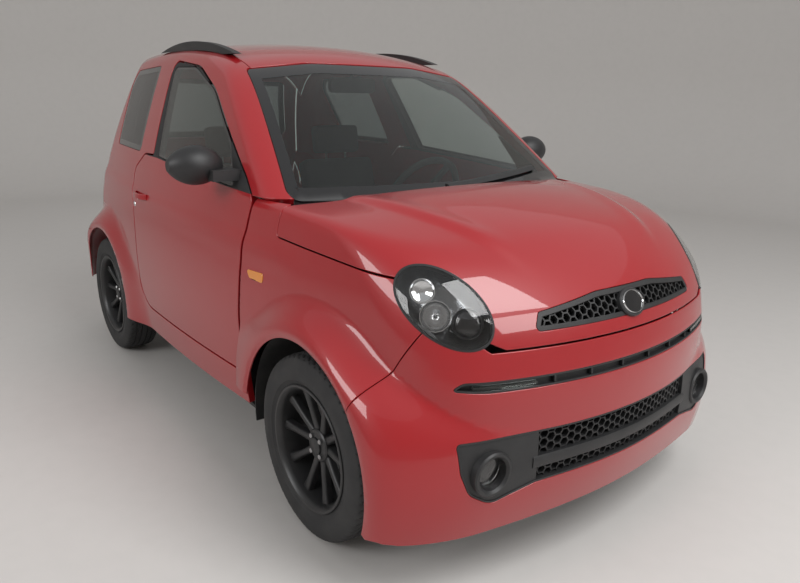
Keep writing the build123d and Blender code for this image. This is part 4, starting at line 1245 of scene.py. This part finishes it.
# seats
seat = {"middle": 270, "base": (-140, 290), "rodX": -478, "rodZ": 985, "rodApart": 55}


def pad(name, size, move, lean, bulge=10.0, seams=()):
    # soft cushion: a rounded box with crowned faces and sewn grooves
    work = bmesh.new()
    bmesh.ops.create_cube(work, size=2)
    bmesh.ops.subdivide_edges(work, edges=work.edges[:], cuts=21, use_grid_fill=True)
    half = np.array(size, float) / 2
    radius = min(half) * 0.55
    for vert in work.verts:
        unit = np.array(vert.co)
        box = unit * half
        core = np.clip(box, -(half - radius), half - radius)
        out = box - core
        length = np.linalg.norm(out)
        point = core + out / max(length, 1e-6) * radius if length > 1e-6 else box
        share = (1 - unit[0] ** 2) * (1 - unit[1] ** 2)
        point[2] += math.copysign(bulge, unit[2]) * share if abs(unit[2]) > 0.98 else 0
        if unit[2] > 0.3:
            for axis, at in seams:
                point[2] -= 7 * math.exp(-(((point[axis] - at) / 7) ** 2)) * max(share, 0.15)
        vert.co = Vector(point / 1000)
    mesh = bpy.data.meshes.new(name)
    work.to_mesh(mesh)
    work.free()
    mesh.materials.append(seatCloth)
    mesh.polygons.foreach_set("use_smooth", np.full(len(mesh.polygons), True))
    thing = bpy.data.objects.new(name, mesh)
    bpy.context.scene.collection.objects.link(thing)
    mesh.transform(Matrix.Translation(Vector(move) / 1000) @ Matrix.Rotation(math.radians(lean), 4, "Y"))
    return thing


def makeSeats():
    for hand, side in (("Left", 1), ("Right", -1)):
        y = side * seat["middle"]
        cushion = pad(
            "seatCushion" + hand, (470, 400, 120), (-125, y, 400), -3, 12, ((1, -125), (1, 125), (0, 150)),
        )
        backrest = pad(
            "seatBack" + hand, (540, 390, 95), (-405, y, 690), -107, 10, ((1, -120), (1, 120), (0, -190)),
        )
        headrest = pad("seatHead" + hand, (130, 240, 70), (-482, y, 1045), -100, 6)
        for thing in (cushion, backrest, headrest):
            place(thing, "root", ["seats"], "seat_cloth")
        base = gridMesh(
            "seatBase" + hand, boxSheet((seat["base"][0], y, seat["base"][1]), (380, 340, 100)), [trimGrey],
        )
        place(base, "root", slot="interior_plastic")
        for k in (-1, 1):
            rod = turned([(6, -80), (6, 80)], 16, "z", (seat["rodX"], y + k * seat["rodApart"], seat["rodZ"]))
            place(gridMesh(f"headrestRod{hand}{(k + 3) // 2}", rod, [brightSteel]), "root")


def boxSheet(middle, size):
    # four columns of a box, for gridMesh
    x, y, z = (v / 2 for v in size)
    ring = [(-x, -y), (x, -y), (x, y), (-x, y)]
    return np.array([[(a, b, h) for a, b in ring] for h in (-z, z)], float) + np.array(middle, float)


makeSeats()
print("seats ready")

def turnedPiece(name, profile, count, spot, ways, material, ride="root"):
    # a turned ring or dish set at a spot, its axis along the last way
    rings = turned(profile, count, "z")
    sheet = spot + rings[..., :1] * ways[0] + rings[..., 1:2] * ways[1] + rings[..., 2:] * ways[2]
    return place(fixFaces(gridMesh(name, sheet, [material], wrap=True)), ride)


# headlights
def lampRows(scale, side):
    starts, way, far = Cutter("lamp", ellipseRows(*headlight["halfAxes"]) * scale, ready=True).raysOf(side)
    return hitForm(noseForm, starts, np.tile(np.array(way, float), (len(starts), 1)), far)


def makeHeadlights():
    lampWindow = Window(
        noseForm, np.array(headlight["middle"]) - np.array(headlight["facing"]) * 150, headlight["facing"],
        parallel=True,
    )
    ellipse = ellipseRows(*headlight["halfAxes"])
    panelPiece(
        "headlightLensRight", lampWindow, [Cutter("lamp", ellipse, -2, ready=True)], [lensClear],
        "headlights", "root",
        "lamp_lens", ("headlightLensLeft", "headlights", "root"), spacing=9, lift=1.0, edge=1.2, depth=3.5,
    )
    panelPiece(
        "headlightSealRight", lampWindow,
        [Cutter("lamp", ellipse, 4, ready=True), hole("lamp", ellipse, -1, ready=True)],
        [sealRubber], None, "root", None, ("headlightSealLeft", None, "root"), spacing=8,
        lift=0.4, edge=0.8, depth=14,
    )
    for hand, side in (("Right", -1), ("Left", 1)):
        middle, longWay, wideWay, facing = lampFrame(side)
        edge = lampRows(0.975, side)
        centre = edge.mean(0)
        rows = []
        for scale, depth in ((1.0, 6), (0.97, 14), (0.9, 40), (0.8, 62), (0.6, 78), (0.3, 84), (0.02, 86)):
            rows.append(centre + (edge - centre) * scale - facing * depth)
        outer = [row - facing * 3 for row in reversed(rows)]
        bowl = gridMesh("headlightBowl" + hand, np.array(rows + outer), [greyBowl], wrap=True)
        place(fixFaces(bowl), "root")

        for name, long, wide, material, count in (
            ("reflector", 2, 30, chrome, 14),
            ("bulb", 2, 30, lensClear, 24),
            ("projector", -72, -4, blackPlastic, 60),
            ("projectorFace", -72, -4, glossBlack, 60),
            ("indicator", 66, 0, chrome, 40),
        ):
            spot = middle + longWay * long + wideWay * wide
            turnedPiece(name + hand, lampProfiles[name], count, spot, (longWay, wideWay, facing), material)
    print("headlights ready")


makeHeadlights()

# nose details
noseFlat = Window(noseForm, (600, 0, 500), (1, 0, 0), parallel=True)


def onNose(y, z, inset=0.0):
    y, z = np.broadcast_arrays(np.asarray(y, float), np.asarray(z, float))
    starts = np.stack([np.full(y.size, 600.0), y.ravel(), z.ravel()], 1)
    hits = hitForm(noseForm, starts, np.tile((1.0, 0, 0), (y.size, 1)))
    return hits - normalsOf(noseForm, hits) * inset


def honeycomb(name, rows, size, front, back, ride, wall=2.2, without=()):
    # cells whose middles lie in the outline, as one mesh of rings
    loop = roundedLoop(rows)
    low, high = loop.min(0), loop.max(0)
    stepY, stepZ = size * 1.5, size * math.sqrt(3) / 2
    spots = []
    for j, z in enumerate(np.arange(low[1], high[1], stepZ)):
        for y in np.arange(low[0] - low[0] % (2 * stepY) - 2 * stepY, high[0], 2 * stepY):
            spots.append((y + (j % 2) * stepY, z))
    spots = np.array(spots)
    inner = insideLoop(grown(loop, -size * 0.55), spots)
    for y, z, radius in without:
        inner &= np.hypot(spots[:, 0] - y, spots[:, 1] - z) > radius
    turn = np.arange(6) * math.pi / 3
    parts = []
    spots = spots[inner]
    for y, z in spots:
        rings = []
        for radius, inset in (
            (size + 0.4, front), (size - wall, front), (size - wall, back), (size + 0.4, back),
        ):
            rings.append(onNose(y + radius * np.cos(turn), z + radius * np.sin(turn), inset))
        parts.append((np.array(rings), True, 0))
    points, faces, _ = joined(parts)
    thing = sharpen(addMesh(name, points, faces, [blackPlastic]))
    return place(fixFaces(thing), ride)


def ribbon(name, y, z, wide, front, back, ride, material):
    # a bar that follows the nose: rows of y and z with half heights
    rows = []
    for offset, inset in (
        (wide, back), (wide, front + 3), (wide * 0.6, front), (-wide * 0.6, front), (-wide, front + 3),
        (-wide, back),
    ):
        rows.append(onNose(y, z + offset, inset))
    sheet = np.array(rows).transpose(1, 0, 2)
    return place(fixFaces(gridMesh(name, sheet, [material])), ride)


fogLamp = {"y": 476, "z": 366, "clear": 150, "hole": 60}
badge = {"z": 743, "halfHeight": 33, "halfWidth": 43, "clear": 44}
noseSlot = {"ribs": (-300, -180, -60, 60, 180, 300), "ribZ": 592.0, "lampZ": 590, "lampRun": (352, 520)}
handle = {"x": (-470, -330), "z": 846, "lock": (-490.0, 0, 800)}
blade = {"halfWidth": 352, "z": 366}


def makeGrilles():
    plates = (
        ("upperGrilleBack", upperGrilleRows, glossBlack, "upper_grille", "bonnet", "black_plastic", -22),
        ("bumperGrilleBack", lowerGrilleRows, blackPlastic, "bumper_grilles", "root", "black_plastic", -30),
        ("slotBack", slotRows, blackPlastic, None, "root", None, -16),
    )
    for name, rows, material, node, ride, slot, lift in plates:
        whole = [Cutter("front", rows, -1.5, x=grilleEnd)]
        panelPiece(name, noseFlat, whole, [material], node, ride, slot, spacing=16, lift=lift, edge=1, depth=3)
    surrounds = (
        ("upperGrilleSurround", upperGrilleRows, "bonnet", (-1.5, -11), -0.5, 1.5, 20),
        ("slotSurround", slotRows, "root", (-1.2, -4.2), -0.8, 0.8, 15),
        ("lowerSurround", lowerGrilleRows, "root", (-1.2, -4.2), -0.8, 0.8, 28),
    )
    for name, rows, ride, (outer, inner), lift, edge, deep in surrounds:
        band = [Cutter("front", rows, outer, x=grilleEnd), hole("front", rows, inner)]
        panelPiece(
            name, noseFlat, band, [blackPlastic], None, ride, spacing=9, lift=lift, edge=edge, depth=deep,
        )
    honeycomb(
        "upperHoneycomb", upperGrilleRows, 13.5, 6, 20, "bonnet", without=((0, badge["z"], badge["clear"]),),
    )
    fogRoom = [(side * fogLamp["y"], fogLamp["z"], fogLamp["clear"]) for side in bothSides]
    honeycomb("lowerHoneycomb", lowerGrilleRows, 15, 12, 28, "root", without=fogRoom)
    y = np.linspace(-blade["halfWidth"], blade["halfWidth"], 60)
    ribbon("lowerBlade", y, blade["z"] + 0 * y, 17, 1, 26, "root", blackPlastic)
    for number, at in enumerate(noseSlot["ribs"], 1):
        ribbon(
            f"slotRib{number}", np.array([at - 2.5, at + 2.5]), np.full(2, noseSlot["ribZ"]), 12.5, 3, 14,
            "root", blackPlastic,
        )
    for hand, side in (("Right", -1), ("Left", 1)):
        y = side * np.linspace(*noseSlot["lampRun"], 24)
        ribbon("dayLamp" + hand, y, noseSlot["lampZ"] + 0 * y, 6.5, 3, 12, "root", screenGlass)
        cheek = [(side * 338, 292, 0), (side * 600, 250, 0), (side * 600, 470, 0), (side * 338, 470, 0)]
        panelPiece(
            "fogCheek" + hand, noseFlat,
            [
                Cutter("front", lowerGrilleRows, -4, x=grilleEnd),
                Cutter("front", cheek, 0, x=grilleEnd),
                hole("front", circleRows(side * fogLamp["y"], fogLamp["z"], fogLamp["hole"], 48), ready=True),
            ],
            [blackPlastic], None, "root", None, spacing=10, lift=-4, edge=1.5, depth=20,
        )
        spot = onNose(side * fogLamp["y"], fogLamp["z"])[0]
        facing = normalsOf(noseForm, spot[None])[0] * 0.35 + np.array([0.65, 0, 0])
        facing /= np.linalg.norm(facing)
        across = np.cross((0, 0, 1), facing)
        across /= np.linalg.norm(across)
        upWay = np.cross(facing, across)
        for name, profile, material, count in (
            (
                "fogBezel", [(60, -12), (60, 4), (56, 8), (50, 8), (44, 2), (41, -20), (41, -46), (61, -46)],
                blackPlastic, 64,
            ),
            ("fogBowl", [(41, -24), (38, -34), (24, -42), (2, -45), (2, -47), (41, -47)], chrome, 18),
            (
                "fogLens", [(40.5, -17), (28, -13), (0.5, -11), (0.5, -14), (28, -16), (40.5, -20)], lensClear,
                48,
            ),
        ):
            fog = turnedPiece(name + hand, profile, count, spot, (across, upWay, facing), material)
            if name == "fogLens":
                place(fog, "root", ["front_lamps"], "lamp_lens")
    panelPiece(
        "repeaterRight", rightNose, [Cutter("side", repeaterRows, 0)], [amberLens], None, "root", None,
        ("repeaterLeft", None, "root"), spacing=8, lift=2.0, edge=1.5, depth=8,
    )
    spot = onNose(0, badge["z"])[0]
    tilt = normalsOf(noseForm, spot[None])[0]
    upWay = np.cross(tilt, (0, 1, 0))
    for name, profile, material in (
        ("badgeRing", [(1.0, -8), (1.0, 7), (0.97, 9), (0.93, 9), (0.9, 6), (0.9, -8)], chrome),
        ("badgeSurround", [(1.22, -10), (1.22, 3), (1.16, 5.5), (1.02, 5.5), (1.02, -10)], blackPlastic),
        ("badgePlate", [(0.91, -8), (0.91, 6), (0.5, 7), (0.01, 7.4), (0.01, -8)], glossBlack),
    ):
        ways = (badge["halfHeight"] * upWay, badge["halfWidth"] * np.array([0, 1, 0]), tilt)
        turnedPiece(name, profile, 72, spot, ways, material, "bonnet")
    print("nose details ready")


makeGrilles()

# door handles
def makeHandles():
    for hand, side in (("Right", -1), ("Left", 1)):
        along = np.linspace(*handle["x"], 16)
        none = 0 * along
        starts = np.stack([along, none, handle["z"] + none], 1)
        ways = np.tile((0.0, side, 0.0), (len(along), 1))
        hits = hitForm(cabinForm, starts, ways)
        stand = 4 + 22 * np.sin(np.linspace(0, math.pi, 16)) ** 0.6
        rows = []
        for up, out in ((11, 0), (12, 0.5), (9, 1), (-9, 1), (-12, 0.5), (-11, 0)):
            rows.append(hits + np.stack([none, side * (stand - 9 + 9 * out), up + none], 1))
        grip = gridMesh("doorHandle" + hand, np.array(rows).transpose(1, 0, 2), [redPaint])
        place(fixFaces(grip), "door_" + hand.lower())
        lock = turned([(0.5, 3), (9, 3), (10.5, 1), (10.5, -4), (0.5, -4)], 32, "y", (0, 0, 0)) * (1, side, 1)
        spot = hitForm(cabinForm, np.array([handle["lock"]]), np.array([[0.0, side, 0]]))[0]
        place(fixFaces(gridMesh("doorLock" + hand, lock + spot, [chrome], wrap=True)), "door_" + hand.lower())
    print("handles ready")


makeHandles()

camera = {
    "place": (2.467, -1.609, 1.277),
    "yaw": 141.911,
    "pitch": -16.068,
    "roll": 1.435,
    "focal": 689.74,
    "centreShift": (0.36, -0.78),
}


def aimCamera():
    yaw, pitch, roll = (math.radians(camera[k]) for k in ("yaw", "pitch", "roll"))
    ahead = Vector((math.cos(pitch) * math.cos(yaw), math.cos(pitch) * math.sin(yaw), math.sin(pitch)))
    right = ahead.cross(Vector((0, 0, 1))).normalized()
    up = right.cross(ahead)
    right, up = right * math.cos(roll) + up * math.sin(roll), up * math.cos(roll) - right * math.sin(roll)
    lens = bpy.data.cameras.new("studioCamera")
    lens.sensor_width = 36
    lens.lens = camera["focal"] / 800 * 36
    lens.shift_x = -camera["centreShift"][0] / 800
    lens.shift_y = camera["centreShift"][1] / 800
    lens.clip_end = 60
    eye = bpy.data.objects.new("studioCamera", lens)
    bpy.context.scene.collection.objects.link(eye)
    turn = Matrix((right, up, -ahead)).transposed().to_4x4()
    eye.matrix_world = Matrix.Translation(Vector(camera["place"])) @ turn
    bpy.context.scene.camera = eye


aimCamera()

studio = {"floorTone": (0.62, 0.60, 0.58), "worldStrength": 0.5}
floorMaterial = finish(
    "studio floor", studio["floorTone"], rough=0.55, grain=(40, 0.2, 0.0004), dust=(0.1, (0.5, 0.49, 0.47)),
)


def makeStudio():
    # floor that sweeps up into a round backdrop
    profile = [(0.0, 0.0), (3.2, 0.0), (6.2, 0.0)]
    profile += [(6.2 + 1.6 * math.sin(a), 1.6 - 1.6 * math.cos(a)) for a in np.linspace(0.1, math.pi / 2, 12)]
    profile += [(7.8, 5.5)]
    count = 96
    points, faces = [(0, 0, 0)], []
    for radius, height in profile[1:]:
        for k in range(count):
            turn = 2 * math.pi * k / count
            points.append((radius * math.cos(turn) * 1000, radius * math.sin(turn) * 1000, height * 1000))
    for k in range(count):
        faces.append((0, 1 + k, 1 + (k + 1) % count))
    for row in range(len(profile) - 2):
        for k in range(count):
            a, b = 1 + row * count + k, 1 + row * count + (k + 1) % count
            faces.append((a, a + count, b + count, b))
    addMesh("studioFloor", points, faces, [floorMaterial])


def addLamp(name, place, target, size, power, tone=(1, 1, 1)):
    data = bpy.data.lights.new(name, "AREA")
    data.shape = "RECTANGLE"
    data.size, data.size_y = size
    data.energy = power
    data.color = tone
    lamp = bpy.data.objects.new(name, data)
    lamp.location = place
    lamp.rotation_mode = "QUATERNION"
    lamp.rotation_quaternion = (Vector(target) - Vector(place)).to_track_quat("-Z", "Y")
    bpy.context.scene.collection.objects.link(lamp)


makeStudio()
addLamp("ceilingSoft", (3.6, 0.5, 4.4), (0.3, 0.0, 0.6), (2.6, 2.6), 150)
addLamp("sideSoft", (0.6, -5.0, 3.0), (0.2, 0.0, 0.6), (3.0, 1.6), 90)
addLamp("frontSoft", (5.5, 1.2, 2.8), (0.8, 0.0, 0.6), (2.0, 1.6), 60)

world = bpy.data.worlds.new("studioAir")
bpy.context.scene.world = world
world.use_nodes = True
world.node_tree.nodes["Background"].inputs["Color"].default_value = (0.9, 0.9, 0.9, 1)
world.node_tree.nodes["Background"].inputs["Strength"].default_value = studio["worldStrength"]
print("studio ready")
